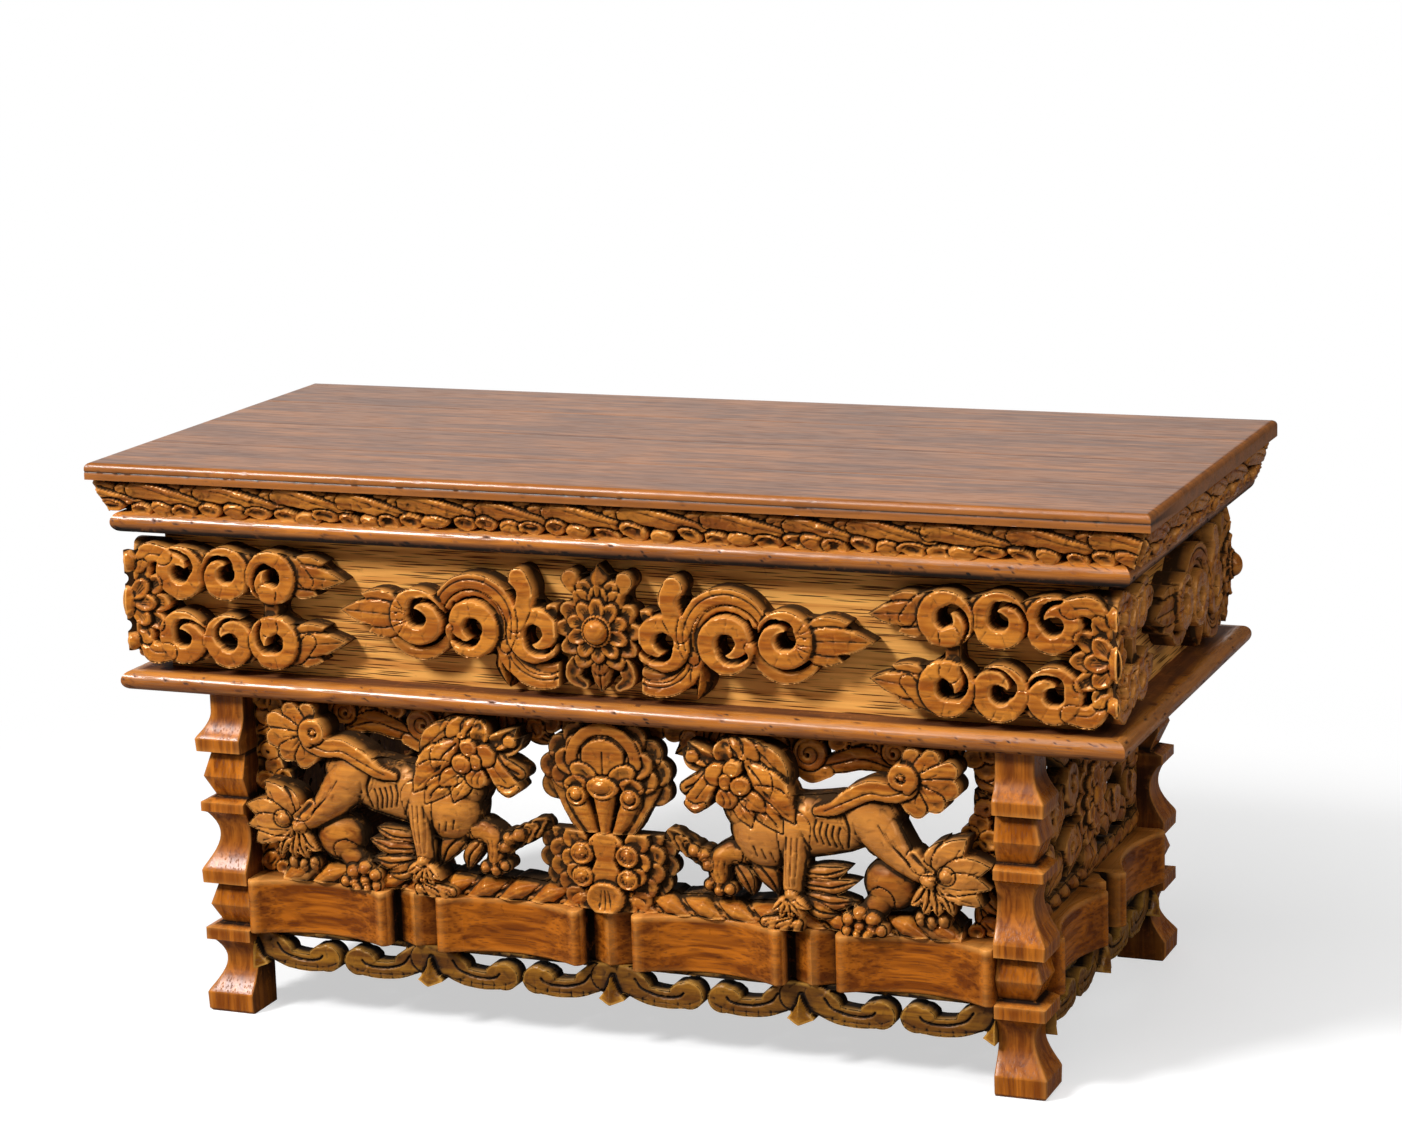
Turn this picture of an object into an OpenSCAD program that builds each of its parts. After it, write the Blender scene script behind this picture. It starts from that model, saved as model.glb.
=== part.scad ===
// Low carved altar table: boarded top on a leaf cornice, frieze box with applied scrolls,
// waist frame, four profiled legs, wave rails and a pierced panel with two snow lions.
// X runs along the front, the front faces -Y, Z is up from the floor at the middle of the table.

/* [Table top] */
// Width of the top along the front
top_w = 780; // [764:2:800]
// Depth of the top from front to back
top_d = 352; // [346:2:372]
// Thickness of the top boards
top_t = 12; // [10:0.5:16]
// Radius of the rounded upper lip
lip_r = 4; // [2:0.5:6]

/* [Cornice and bead] */
// Height of the carved cornice
cornice_h = 24; // [20:0.5:30]
// Setback of the cornice from the edge of the top
cornice_setback = 4; // [3:0.5:6]
// How far the cornice face leans inwards from top to bottom
cornice_lean = 9; // [6:0.5:11]
// Wanted length of one carved leaf along the cornice
leaf_len = 37; // [30:1:46]
// Setback of the bead from the ends of the top
bead_in_w = 15; // [13:0.5:18]
// Setback of the bead from the front and back of the top
bead_in_d = 5.5; // [4.5:0.5:8]
// Height of the half-round bead
bead_h = 15; // [12:0.5:18]

/* [Frieze] */
// Setback of the frieze from the ends of the bead
frieze_in_w = 31; // [28:0.5:34]
// Setback of the frieze from the front and back of the bead
frieze_in_d = 23.5; // [22:0.5:26]
// Height of the frieze boards
frieze_h = 101; // [96:1:108]
// Thickness of the frieze boards
frieze_t = 18; // [14:0.5:20]
// Thickness of the scrolls applied to the frieze
carve_t = 22; // [16:0.5:24]

/* [Waist] */
// How far the waist stands out from the ends of the frieze
waist_out_w = 28; // [26:0.5:31]
// How far the waist stands out from the front and back of the frieze
waist_out_d = 27; // [26:0.5:30]
// Thickness of the waist frame
waist_t = 14; // [13:0.5:18]

/* [Legs] */
// Width of each square leg
leg_s = 37; // [35:0.5:40]
// Height of the legs up to the waist
leg_h = 237; // [230:1:250]
// Setback of the legs from the ends of the waist
leg_in_w = 55; // [52:0.5:58]
// Setback of the legs from the front and back of the waist
leg_in_d = 2; // [1:0.5:4]
// Depth of the hollow necks on the outer faces
neck_cut = 14; // [11:0.5:15]
// Depth of the hollow on the inner faces of each foot
foot_cut = 6; // [3:0.5:8]

/* [Rails] */
// Height of the underside of the rails above the floor
rail_z = 62; // [58:1:66]
// Height of the rails
rail_h = 40; // [36:1:44]
// How deep the long rail panels are hollowed
panel_hollow = 9; // [5:0.5:11]
// Depth of the notches beside each ridge
notch_cut = 12; // [8:0.5:14]
// Drop of the wave scrolls below the rails
apron_drop = 28; // [24:1:32]

/* [Hidden] */

// Colours
top_colour = "#6b4026";
carved_colour = "#b0702f";
frieze_colour = "#b98a52";
leg_colour = "#955a28";
inner_colour = "#7d5430";

// Outlines, each set from the one above it
bead_w = top_w - 2 * bead_in_w;
bead_d = top_d - 2 * bead_in_d;
frieze_w = bead_w - 2 * frieze_in_w;
frieze_d = bead_d - 2 * frieze_in_d;
waist_w = frieze_w + 2 * waist_out_w;
waist_d = frieze_d + 2 * waist_out_d;
leg_span_w = waist_w - 2 * leg_in_w;
leg_span_d = waist_d - 2 * leg_in_d;

// Levels
waist_z = leg_h;
frieze_z = waist_z + waist_t;
bead_z = frieze_z + frieze_h;
cornice_z = bead_z + bead_h;
top_z = cornice_z + cornice_h;
rail_top = rail_z + rail_h;
panel_h = leg_h - rail_top;

// Frames and their members
board_count = 4;
bead_member = 46;
cornice_member = 52;
waist_member = 105;
cornice_w = top_w - 2 * cornice_setback;
cornice_d = top_d - 2 * cornice_setback;
block_s = 22;
batten_w = 46;
batten_t = 18;
batten_place = 0.3;
rabbet = 8;

// Leg details at the drawn leg height
leg_drawn_h = 237;
neck_lift = 1.35;
foot_z0 = 13;
foot_z1 = 54;
tenon_s = 12;
tenon_h = 9;
tenon_inset = 4;
fit_gap = 0.2;
rail_tenon_t = 8;
rail_tenon_l = 8;
rail_tenon_inset = 10;
rail_tenon_shoulder = 7;
rail_tenon_h = rail_h - 2 * rail_tenon_shoulder;

// Rails, aprons and the carved panel
rail_t = leg_s - 1;
rail_proud = 1;
ridge_w = 38;
end_round = 5;
front_w = leg_span_w - 2 * leg_s;
side_w = leg_span_d - 2 * leg_s;
apron_t = 14;
apron_bar = 6;
tongue_t = 5;
tongue_h = 4;
pendant_r = 10;
pendant_h = 18;

// The panel is drawn for a 560 mm by 135 mm opening, the sides for 270 mm by 135 mm
drawn_front_w = 560;
drawn_side_w = 270;
drawn_panel_h = 135;
panel_k = min(front_w / drawn_front_w, panel_h / drawn_panel_h);
panel_y = -leg_span_d / 2;
back_layer_y = 23;
back_layer_t = 13;
lock_back = 19;
crest_z = 124;
crest_half_w = 252;
drawn_frieze_w = 688;
drawn_frieze_h = 101;
carve_k = min(frieze_w / drawn_frieze_w, frieze_h / drawn_frieze_h);
rosette_half = 31;
boss_h = 6;
far = 1000;
tiny = 0.01;

// Shared outlines

function polar(r, a) = [r * cos(a), r * sin(a)];

function mix(a, b, s) = a + (b - a) * s;

// Oval of half sizes a and b
module oval(a, b, steps = 28) {
    polygon([for (i = [0:steps - 1]) let (t = 360 * i / steps) [a * cos(t), b * sin(t)]]);
}

// Flat scroll of outer radius r: a broad band round a deep eye, with its end hooked into the eye
module scroll(r) {
    difference() {
        circle(r = r, $fn = 48);
        translate([0.06 * r, 0]) circle(r = 0.42 * r, $fn = 36);
    }
    translate([0.3 * r, 0.1 * r]) circle(r = 0.2 * r, $fn = 28);
}

// Curved band of width w about the middle radius r between two angles
module arc_band(r, w, a0, a1, steps = 12) {
    outer = [for (i = [0:steps]) polar(r + w / 2, mix(a0, a1, i / steps))];
    inner = [for (i = [steps:-1:0]) polar(r - w / 2, mix(a0, a1, i / steps))];
    polygon(concat(outer, inner));
}

// Pointed leaf along +X with wavy edges
module leaf(len, wid, waves = 0, steps = 12) {
    function half(s) = wid / 2 * sin(180 * pow(s, 0.7)) * (1 + 0.16 * sin(360 * waves * s));
    upper = [for (i = [0:steps]) [len * i / steps, half(i / steps)]];
    lower = [for (i = [steps - 1:-1:1]) [len * i / steps, -half(i / steps)]];
    polygon(concat(upper, lower));
}

// Flower outline with n round petals
module petal_ring(r, n, dip = 0.16, steps = 5) {
    count = n * steps;
    polygon([for (i = [0:count - 1]) polar(r * (1 - dip * abs(sin(180 * i / steps))), 360 * i / count)]);
}

// Turns an outline drawn in X and Z to stand on the plane y = 0 and grow towards -Y
module stand(t) {
    rotate([90, 0, 0]) linear_extrude(height = t) children();
}

// Plan of one mitred member of a frame: 0 front, 1 right, 2 back, 3 left
module member_plan(hx, hy, w, side) {
    corners = [[-hx, -hy], [hx, -hy], [hx, hy], [-hx, hy]];
    inside = [[w - hx, w - hy], [hx - w, w - hy], [hx - w, hy - w], [w - hx, hy - w]];
    next = (side + 1) % 4;
    polygon([corners[side], corners[next], inside[next], inside[side]]);
}

// Runs a profile round one side of a frame. The profile has its outer face at x = 0 and grows to -X.
module run_profile(hx, hy, side) {
    out = side % 2 == 0 ? hy : hx;
    rotate([0, 0, [-90, 0, 90, 180][side]])
        translate([out, far / 2, 0])
            rotate([90, 0, 0]) linear_extrude(height = far) children();
}

// Top

module slab_profile(half) {
    steps = 6;
    lip = [for (i = [0:steps]) [half - lip_r, top_t - lip_r] + polar(lip_r, 90 * i / steps)];
    polygon(concat([[-half, 0], [half, 0]], lip, [for (i = [steps:-1:0]) [-lip[i][0], lip[i][1]]]));
}

module top_board(index) {
    board_d = top_d / board_count;
    color(top_colour) translate([0, 0, top_z]) intersection() {
        translate([0, top_d / 2, 0]) rotate([90, 0, 0])
            linear_extrude(height = top_d) slab_profile(top_w / 2);
        translate([-top_w / 2, 0, 0]) rotate([90, 0, 90])
            linear_extrude(height = top_w) slab_profile(top_d / 2);
        translate([-far / 2, -top_d / 2 + index * board_d, -top_t]) cube([far, board_d, 3 * top_t]);
    }
}

// Cornice and bead

module cornice_leaf(len, wid) {
    steps = 14;
    polygon([for (i = [0:steps - 1])
        let (a = 360 * i / steps) [len / 2 * cos(a), wid / 2 * sin(a) * (1 + 0.4 * cos(a))]]);
}

// Two rows of leaves on the leaning face of a stick of the given length
module cornice_leaves(length) {
    count = round(length / leaf_len);
    pitch = length / count;
    slope = atan2(cornice_lean, cornice_h);
    leaf_rise = [0.5, 0.36];
    for (row = [0, 1]) {
        up = row == 0 ? 0.3 : 0.72;
        proud = row == 0 ? 5.5 : 4;
        sink = 2;
        for (i = [0:count - 1 - row]) let (uneven = sin(137 * i + 60 * row))
            translate([0, (i + 0.5 + row / 2) * pitch - length / 2, cornice_h * up])
                translate([cornice_lean * (up - 1), 0, 0])
                    rotate([90, 0, 90]) rotate([slope, 0, 0]) translate([0, 0, -sink])
                        linear_extrude(height = sink + proud + 0.5 * uneven - 0.4)
                            rotate((row == 0 ? -10 : 8) + 5 * uneven)
                                cornice_leaf(pitch * (0.92 + 0.07 * uneven), cornice_h * leaf_rise[row]);
    }
}

module cornice(side, carved = true) {
    hx = cornice_w / 2;
    hy = cornice_d / 2;
    spare = 20;
    length = side % 2 == 0 ? cornice_w : cornice_d;
    color(carved_colour) translate([0, 0, cornice_z]) intersection() {
        union() {
            run_profile(hx, hy, side)
                polygon([[-cornice_member, 0], [-cornice_lean, 0], [0, cornice_h],
                         [-cornice_member, cornice_h]]);
            if (carved)
                rotate([0, 0, [-90, 0, 90, 180][side]])
                    translate([side % 2 == 0 ? hy : hx, 0, 0])
                        cornice_leaves(length - 2 * cornice_lean);
        }
        linear_extrude(height = cornice_h)
            member_plan(hx + spare, hy + spare, cornice_member + spare, side);
    }
}

module bead(side) {
    hx = bead_w / 2;
    hy = bead_d / 2;
    color(carved_colour) translate([0, 0, bead_z]) intersection() {
        run_profile(hx, hy, side) {
            translate([-bead_member, 0]) square([bead_member - bead_h / 2, bead_h]);
            translate([-bead_h / 2, bead_h / 2]) circle(d = bead_h, $fn = 48);
        }
        linear_extrude(height = bead_h) member_plan(hx, hy, bead_member, side);
    }
}

// Frieze box

module frieze_long(sign) {
    color(frieze_colour) difference() {
        translate([-frieze_w / 2, sign > 0 ? frieze_d / 2 - frieze_t : -frieze_d / 2, frieze_z])
            cube([frieze_w, frieze_t, frieze_h]);
        for (end = [-1, 1])
            translate([end * (frieze_w / 2 - frieze_t / 2), sign * (frieze_d / 2 - frieze_t), frieze_z])
                translate([-frieze_t / 2 - tiny, -rabbet, -tiny])
                    cube([frieze_t + 2 * tiny, 2 * rabbet, frieze_h + 2 * tiny]);
    }
}

module frieze_short(sign) {
    inner_d = frieze_d - 2 * (frieze_t - rabbet);
    color(frieze_colour)
        translate([sign > 0 ? frieze_w / 2 - frieze_t : -frieze_w / 2, -inner_d / 2, frieze_z])
            cube([frieze_t, inner_d, frieze_h]);
}

module corner_block(sx, sy) {
    x = frieze_w / 2 - frieze_t - block_s;
    y = frieze_d / 2 - frieze_t - block_s;
    color(inner_colour) translate([sx > 0 ? x : -x - block_s, sy > 0 ? y : -y - block_s, frieze_z])
        cube([block_s, block_s, frieze_h]);
}

module top_batten(sign) {
    inner_d = cornice_d - 2 * cornice_member;
    color(inner_colour)
        translate([sign * top_w * batten_place - batten_w / 2, -inner_d / 2, top_z - batten_t])
            cube([batten_w, inner_d, batten_t]);
}

// Applied frieze carving

module rosette_outline() {
    petal_ring(rosette_half, 12, 0.12);
    for (sign = [-1, 1]) {
        translate([sign * 18, 30]) circle(r = 8, $fn = 32);
        translate([sign * 14, 23]) circle(r = 9, $fn = 32);
        translate([sign * 11, -12]) rotate(-90 + sign * 14) leaf(32, 18);
    }
    translate([0, 14]) rotate(90) leaf(32, 22);
    translate([0, -12]) rotate(-90) leaf(31, 20);
}

module rosette_stack() {
    stand(carve_t - 6) intersection() {
        rosette_outline();
        square([2 * rosette_half, 4 * rosette_half], center = true);
    }
    stand(carve_t) petal_ring(23, 12, 0.14);
    stand(carve_t + 3) petal_ring(15, 10, 0.18);
    translate([0, -carve_t, 0]) rotate([90, 0, 0]) cylinder(r1 = 9, r2 = 5, h = boss_h, $fn = 40);
}

// Half of the scroll ornament, from the rosette outwards along +X
module spray_outline() {
    translate([47, -5]) rotate(150) scroll(21);
    translate([52, 10]) rotate(72) leaf(29, 18);
    translate([46, -4]) arc_band(27, 13, 200, 335);
    translate([92, -6]) rotate(30) mirror([0, 1]) scroll(21);
    translate([92, 1]) arc_band(27, 10, 5, 210);
    translate([136, 0]) rotate(200) scroll(21);
    translate([134, -1]) arc_band(22, 7, 175, 325);
    translate([150, 2]) leaf(46, 28, 2);
    translate([73, -12]) rotate(-90) leaf(29, 16);
}

// Raised rims along the sweeping bands
module spray_rims() {
    translate([92, 1]) arc_band(25, 3, 20, 205);
    translate([46, -4]) arc_band(30, 3, 215, 330);
}

module spray(from = rosette_half) {
    rim = 2;
    intersection() {
        union() {
            stand(carve_t) spray_outline();
            translate([0, rim - carve_t, 0]) stand(2 * rim) spray_rims();
        }
        translate([from, -far / 2, -far / 2]) cube(far);
    }
}

module on_front_frieze() {
    translate([0, -frieze_d / 2, frieze_z + frieze_h / 2]) scale(carve_k) children();
}

// Places carving drawn for the right-hand side board: its +X runs from the front to the back
module on_side_frieze() {
    translate([frieze_w / 2, 0, frieze_z + frieze_h / 2]) rotate([0, 0, 90]) scale(carve_k) children();
}

module rosette_front() {
    color(carved_colour) on_front_frieze() rosette_stack();
}

module spray_front_right() {
    color(carved_colour) on_front_frieze() spray();
}

module spray_front_left() {
    mirror([1, 0, 0]) spray_front_right();
}

module spray_side_right() {
    back_edge = frieze_d / 2 / carve_k;
    color(carved_colour) on_side_frieze() intersection() {
        translate([back_edge, 0, 0]) union() {
            mirror([1, 0, 0]) spray(rosette_half - 5);
            rosette_stack();
        }
        translate([back_edge - far, -far / 2, -far / 2]) cube(far);
    }
}

module spray_side_left() {
    mirror([1, 0, 0]) spray_side_right();
}

// Corner bracket: two rows of scrolls from the corner inwards along +X, with half a rosette at the corner
module bracket_outline(scrolls, r) {
    pitch = 1.96 * r;
    first = r + 3;
    last = first + (scrolls - 1) * pitch;
    row_z = 23.5;
    for (row = [-1, 1]) {
        for (i = [0:scrolls - 1])
            translate([first + i * pitch, row * row_z]) rotate(row * (150 + i * 60)) scroll(r);
        for (i = [0:scrolls])
            translate([first + (i - 0.5) * pitch, row * row_z]) circle(r = 0.32 * r, $fn = 28);
        translate([last + r - 6, row * row_z]) rotate(-row * 8) leaf(40, 24, 2);
        translate([-9, row * 26]) circle(r = 10, $fn = 32);
    }
    translate([last - 5, r - row_z - 4]) square([10, 2 * (row_z - r + 4)]);
    translate([-carve_t / carve_k, 0]) petal_ring(28, 16, 0.14);
}

// Keeps the part in front of the diagonal through the frieze corner
module mitre_plan() {
    polygon([[far, 0], [0, 0], [-far, -far], [far, -far]]);
}

module bracket(scrolls, r) {
    reach = carve_t / carve_k;
    intersection() {
        union() {
            stand(carve_t) bracket_outline(scrolls, r);
            stand(carve_t + 3) translate([-reach, 0]) petal_ring(18, 12, 0.16);
        }
        translate([0, 0, -far / 2]) linear_extrude(height = far) mitre_plan();
    }
}

module bracket_front_left() {
    color(carved_colour) translate([-frieze_w / 2, 0, 0])
        on_front_frieze() bracket(3, 18.7);
}

module bracket_front_right() {
    mirror([1, 0, 0]) bracket_front_left();
}

module bracket_side_right() {
    color(carved_colour) translate([0, -frieze_d / 2, 0]) on_side_frieze() bracket(2, 14);
}

module bracket_side_left() {
    mirror([1, 0, 0]) bracket_side_right();
}

// Waist frame

module waist(side) {
    hx = waist_w / 2;
    hy = waist_d / 2;
    nose = waist_t / 2;
    color(leg_colour) difference() {
        translate([0, 0, waist_z]) intersection() {
            run_profile(hx, hy, side) {
                translate([-waist_member, 0]) square([waist_member - nose, waist_t]);
                translate([-nose, nose]) circle(r = nose, $fn = 48);
            }
            linear_extrude(height = waist_t) member_plan(hx, hy, waist_member, side);
        }
        if (side % 2 == 0)
            for (sx = [-1, 1])
                at_leg(sx, side - 1) leg_tenon(fit_gap);
    }
}

// Legs

// Places a leg drawn with its inner edge on the Z axis and its outer faces towards +X and +Y
module at_leg(sx, sy) {
    translate([sx * (leg_span_w / 2 - leg_s), sy * (leg_span_d / 2 - leg_s), 0])
        mirror([sx < 0 ? 1 : 0, 0, 0]) mirror([0, sy < 0 ? 1 : 0, 0]) children();
}

// Hollow neck between two heights, as points of height and cut
function neck(z0, z1, steps = 10) =
    [for (i = [1:steps - 1]) let (s = i / steps)
        [mix(z0, z1, s), neck_cut * pow(sin(180 * pow(s, neck_lift)), 0.75)]];

// Height and cut of the leg's outer faces from the floor up
function leg_cuts() = let (root = neck_cut - 2, tip = neck_cut - 10)
    concat([[0, 1.5], [1.5, 0], [foot_z0, 0]], neck(foot_z0, foot_z1),
           [[foot_z1, 1], [63, 1], [66, root], [80, tip], [94, root], [97, 1], [106, 1]], neck(106, 150),
           [[150, 2], [157, 2], [161, root], [176, tip], [191, root], [195, 2], [204, 2]],
           [for (i = [1:6]) [204 + 3 * i, 2 + (neck_cut + 1) * sin(15 * i)]],
           [[leg_drawn_h, neck_cut + 3]]);

module leg_profile() {
    stretch = leg_h / leg_drawn_h;
    steps = 10;
    edge = [for (p = leg_cuts()) [leg_s - p[1], p[0] * stretch]];
    foot = [for (i = [steps:-1:0]) let (s = i / steps)
        [foot_cut * sin(180 * pow(s, neck_lift)), mix(foot_z0, foot_z1, s) * stretch]];
    polygon(concat([[0, 0]], edge, [[0, leg_h]], foot));
}

module leg_tenon(extra) {
    side = tenon_s + 2 * extra;
    translate([tenon_inset - extra, tenon_inset - extra, leg_h - tiny])
        cube([side, side, tenon_h + extra + tiny]);
}

// Tenon on the end of a rail, drawn in the leg's own place and pushed in along +X
module rail_tenon(extra) {
    translate([-tiny, rail_tenon_inset - extra, rail_z + rail_tenon_shoulder - extra])
        cube([rail_tenon_l + extra + tiny, rail_tenon_t + 2 * extra, rail_tenon_h + 2 * extra]);
}

module swap_xy() {
    mirror([1, -1, 0]) children();
}

module leg(sx, sy) {
    color(leg_colour) at_leg(sx, sy) difference() {
        union() {
            intersection() {
                translate([0, leg_s, 0]) rotate([90, 0, 0]) linear_extrude(height = leg_s) leg_profile();
                rotate([90, 0, 90]) linear_extrude(height = leg_s) leg_profile();
            }
            leg_tenon(0);
        }
        if (sy < 0)
            rail_tenon(fit_gap);
        swap_xy() rail_tenon(fit_gap);
    }
}

// Rails and aprons

// Front edge of a rail: hollow panels with rounded ends, and a pointed ridge in each notch between them
function rail_edge(length, panels) =
    let (panel_w = (length - (panels - 1) * ridge_w) / panels)
    let (pitch = panel_w + ridge_w, arc = 4, steps = 10)
    [for (k = [0:panels - 1]) let (u0 = -length / 2 + k * pitch, u1 = u0 + panel_w, r = end_round)
        each concat(
            k == 0 ? [] : [[u0, -notch_cut]],
            [for (i = [0:arc]) [u0 + r, -r] + polar(r, 180 - 90 * i / arc)],
            [for (i = [1:steps - 1]) let (s = i / steps)
                [mix(u0 + r, u1 - r, s), -panel_hollow * (1 - pow(2 * s - 1, 2))]],
            [for (i = [0:arc]) [u1 - r, -r] + polar(r, 90 - 90 * i / arc)],
            k == panels - 1 ? [] : [[u1, -notch_cut], [u1 + ridge_w / 2, -1]])];

// Rail of the given length with its front edge at y = 0 and its bulk towards -Y
module rail(length, panels) {
    tenon_y = -(leg_s + rail_proud - rail_tenon_inset);
    difference() {
        union() {
            translate([0, 0, rail_z]) linear_extrude(height = rail_h)
                polygon(concat([[-length / 2, -rail_t]], rail_edge(length, panels),
                               [[length / 2, -rail_t]]));
            for (end = [-1, 1])
                translate([end * (length + rail_tenon_l) / 2, tenon_y + rail_tenon_t / 2, 0])
                    translate([0, 0, rail_z + rail_h / 2])
                        cube([rail_tenon_l + tiny, rail_tenon_t, rail_tenon_h], center = true);
        }
        apron_tongue(length, fit_gap);
    }
}

module apron_tongue(length, extra) {
    inset = (rail_t + tongue_t) / 2;
    translate([-length / 2 + end_round - extra, -inset - extra, rail_z - tiny])
        cube([length - 2 * (end_round - extra), tongue_t + 2 * extra, tongue_h + extra + tiny]);
}

// One wave scroll between x = 0 and x = len under the line z = 0
module wave_scroll(len) {
    lap = 0.6;
    a = len / 2 + lap;
    b = apron_drop / 2;
    translate([len / 2, -b]) {
        difference() {
            oval(a, b);
            translate([-0.2 * a, 0.3 * b]) oval(0.5 * a, 0.5 * b);
        }
        translate([0.16 * a, 0.3 * b]) circle(r = 0.42 * b, $fn = 32);
    }
}

// Pairs of wave scrolls that meet under the middle of each panel, with pendants between the pairs
module apron(length, pairs) {
    pair_w = length / pairs;
    mid_y = -(rail_t + apron_t) / 2;
    translate([0, mid_y + apron_t, rail_z]) stand(apron_t) intersection() {
        union() {
            translate([-length / 2, -apron_bar]) square([length, apron_bar]);
            for (k = [0:pairs - 1])
                for (sign = [-1, 1])
                    translate([-length / 2 + (k + 0.5) * pair_w - sign * pair_w / 2, 0])
                        mirror([sign < 0 ? 1 : 0, 0]) wave_scroll(pair_w / 2);
        }
        translate([-length / 2, -2 * apron_drop]) square([length, 2 * apron_drop]);
    }
    for (k = [1:pairs - 1])
        translate([-length / 2 + k * pair_w, mid_y + apron_t / 2, rail_z - apron_bar - pendant_h])
            cylinder(r1 = pendant_r, r2 = 4, h = pendant_h + 1, $fn = 48);
    apron_tongue(length, 0);
}

module on_front() {
    translate([0, panel_y - rail_proud, 0]) mirror([0, 1, 0]) children();
}

// Places work drawn for a rail on the right-hand side of the table
module on_right() {
    translate([leg_span_w / 2 + rail_proud, 0, 0]) rotate([0, 0, -90]) children();
}

module rail_front() {
    color(leg_colour) on_front() rail(front_w, 4);
}

module rail_right() {
    color(leg_colour) on_right() rail(side_w, 2);
}

module rail_left() {
    mirror([1, 0, 0]) rail_right();
}

module apron_front() {
    color(carved_colour) on_front() apron(front_w, 4);
}

module apron_right() {
    color(carved_colour) on_right() apron(side_w, 2);
}

module apron_left() {
    mirror([1, 0, 0]) apron_right();
}

// Carved front panel

// Panel space: x from the middle, y from the front of the legs backwards, z from the top of the rail
module in_panel() {
    translate([0, panel_y, rail_top]) scale(panel_k) children();
}

// Same, hung from the waist
module under_waist() {
    translate([0, panel_y, waist_z - drawn_panel_h * panel_k]) scale(panel_k) children();
}

module back_layer(t = back_layer_t) {
    translate([0, back_layer_y + back_layer_t, 0]) stand(t) children();
}

// Twisted strip that the lions stand in front of
module ground_strip() {
    length = 510;
    lobes = 20;
    pitch = length / lobes;
    color(carved_colour) in_panel() back_layer() {
        translate([-length / 2, 0]) square([length, 7]);
        for (i = [0:lobes - 1])
            translate([-length / 2 + (i + 0.5) * pitch, 8]) rotate(i < lobes / 2 ? 18 : 162)
                leaf_blob(pitch * 0.54, 7);
    }
}

module leaf_blob(a, b, steps = 14) {
    polygon([for (i = [0:steps - 1])
        let (t = 360 * i / steps) [a * cos(t), b * sin(t) * (1 + 0.3 * cos(t))]]);
}

// Tapering limb between two points with a radius each
module limb(p, rp, q, rq) {
    hull() {
        translate(p) sphere(r = rp, $fn = 10);
        translate(q) sphere(r = rq, $fn = 10);
    }
}

// Limb through a list of points and radii
module chain(points) {
    for (i = [0:len(points) - 2])
        limb(points[i][0], points[i][1], points[i + 1][0], points[i + 1][1]);
}

// Flat carved lock from its root to its tip in the front layer
module lock(root, tip, wid, proud) {
    way = tip - root;
    translate([root[0], lock_back, root[1]]) stand(proud)
        rotate(atan2(way[1], way[0])) leaf(norm(way), wid);
}

// Round carved petal from its root to its tip in the front layer
module petal(root, tip, wid, proud) {
    way = tip - root;
    mid = (root + tip) / 2;
    translate([mid[0], lock_back, mid[1]]) stand(proud)
        rotate(atan2(way[1], way[0])) oval(norm(way) / 2, wid / 2, 20);
}

// Two fans of locks that stream back from the crown, with curls round the cheek
module lion_mane(crown) {
    for (fan = [0, 1])
        for (i = [0:6 - fan]) let (a = 254 - 17 * i - 8 * fan, reach = 48 - 13 * fan - i)
            lock(crown + polar(6, a), crown + polar(reach, a), 16, 13 + 3 * fan);
    for (i = [0:3]) let (a = 290 - 55 * i)
        translate([crown[0], lock_back, crown[1]] + [9 * cos(a), 0, 9 * sin(a)])
            stand(18) circle(r = 6, $fn = 24);
    petal(crown + [8, 8], crown + [30, 18], 11, 15);
    petal(crown + [-4, 8], crown + [10, 25], 13, 14);
}

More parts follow.
